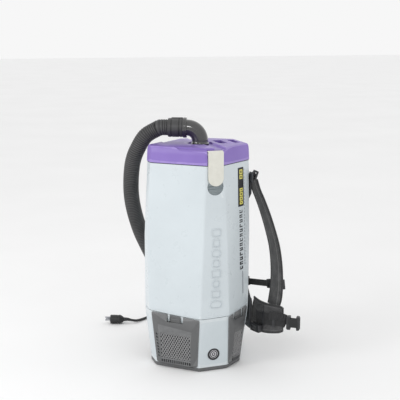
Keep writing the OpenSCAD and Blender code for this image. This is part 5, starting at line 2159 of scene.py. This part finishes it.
@dataclass
class Studio:
    """The floor, the soft lights and the camera; lamps give a name, metres, size and watts."""

    paints: Paintbox
    target: tuple[float, float, float] = (0, 2, 494)
    azimuth: float = 70.6
    pitch: float = 11.1
    distance: float = 2578
    focal: float = 77.4
    sensor: float = 36
    aim: tuple[float, float, float] = (0, 0, 0.35)
    lamps: tuple[tuple[str, Point, float, float], ...] = (("key", (0.6, -3.1, 1.5), 1.1, 24),
        ("side", (2.6, -1.2, 1.9), 0.45, 7))
    sky: float = 0.93

    def back(self) -> Vector:
        """Gives the direction from the target to the camera."""
        a, p = radians(self.azimuth), radians(self.pitch)
        return Vector((cos(p) * sin(a), -cos(p) * cos(a), sin(p)))

    def camera(self) -> None:
        """Makes the camera."""
        data = bpy.data.cameras.new("camera")
        data.sensor_width = self.sensor
        data.lens = self.focal
        data.clip_end = 50
        camera = bpy.data.objects.new("camera", data)
        camera.location = (Vector(self.target) + self.back() * self.distance) * MM
        camera.rotation_euler = self.back().to_track_quat("Z", "Y").to_euler()
        bpy.context.scene.collection.objects.link(camera)
        bpy.context.scene.camera = camera

    def lamp(self, name: str, place: Point, size: float, power: float) -> None:
        """Adds a square soft light that looks at the machine."""
        data = bpy.data.lights.new(name, "AREA")
        data.size = size
        data.energy = power
        lamp = bpy.data.objects.new(name, data)
        lamp.location = place
        lamp.rotation_euler = (Vector(place) - Vector(self.aim)).to_track_quat("Z", "Y").to_euler()
        bpy.context.scene.collection.objects.link(lamp)

    def lights(self) -> None:
        """Adds the lights and the plain surroundings."""
        bpy.context.scene.view_settings.view_transform = "Standard"
        for lamp in self.lamps:
            self.lamp(*lamp)
        world = bpy.data.worlds.new("surroundings")
        world.use_nodes = True
        background = world.node_tree.nodes["Background"]
        background.inputs["Color"].default_value = (1.0, 1.0, 1.0, 1.0)
        background.inputs["Strength"].default_value = self.sky
        bpy.context.scene.world = world

    def floor(self) -> None:
        """Adds the wide paper floor that the machine stands on."""
        size = 30000.0
        corners = [Vector((x * size, y * size, 0)) for x, y in ((-1, -1), (1, -1), (1, 1), (-1, 1))]
        floor = made("paper_floor", (corners, [[0, 1, 2, 3]]))
        self.paints.dress(floor, "studio_paper")
        floor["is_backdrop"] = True


def note_size(stage: str, sizes: dict) -> None:
    low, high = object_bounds()
    sizes[stage] = [[float(v) for v in low], [float(v) for v in high]]


def main() -> None:
    """Builds the whole machine and its surroundings."""
    logging.basicConfig(level=logging.INFO, format="%(name)s: %(message)s")
    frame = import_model()
    sizes: dict = {}
    note_size("frame", sizes)
    form, paints, harness = BodyForm(), Paintbox(), HarnessSizes()
    studio = Studio(paints)
    studio.camera()
    groups: list[SubAssembly] = [kind(form, paints)
        for kind in (ElbowAndHose, PowerLead, UpperShell, Base)]
    groups += [VentCover(form, paints, corner=corner, side=side) for corner in Corner
        for side in Side]
    groups += [Lid(form, paints)] + [Latch(form, paints, side=side) for side in Side]
    groups.append(HarnessPlate(form, paints, sizes=harness))
    groups += [ShoulderStrap(form, paints, sizes=harness, side=side) for side in Side]
    groups += [kind(form, paints, sizes=harness) for kind in (StrapHardware, SternumStrap,
        WaistBelt, BeltSwitch)]
    groups.append(Interior(form, paints, nodes=frame["nodes"]))
    for group in groups:
        group.build()
        group.dress()
        LOG.info("%s: %d pieces", type(group).__name__, len(group.pieces))
    studio.lights()
    studio.floor()
    note_size("looks", sizes)


if __name__ == "__main__":
    main()
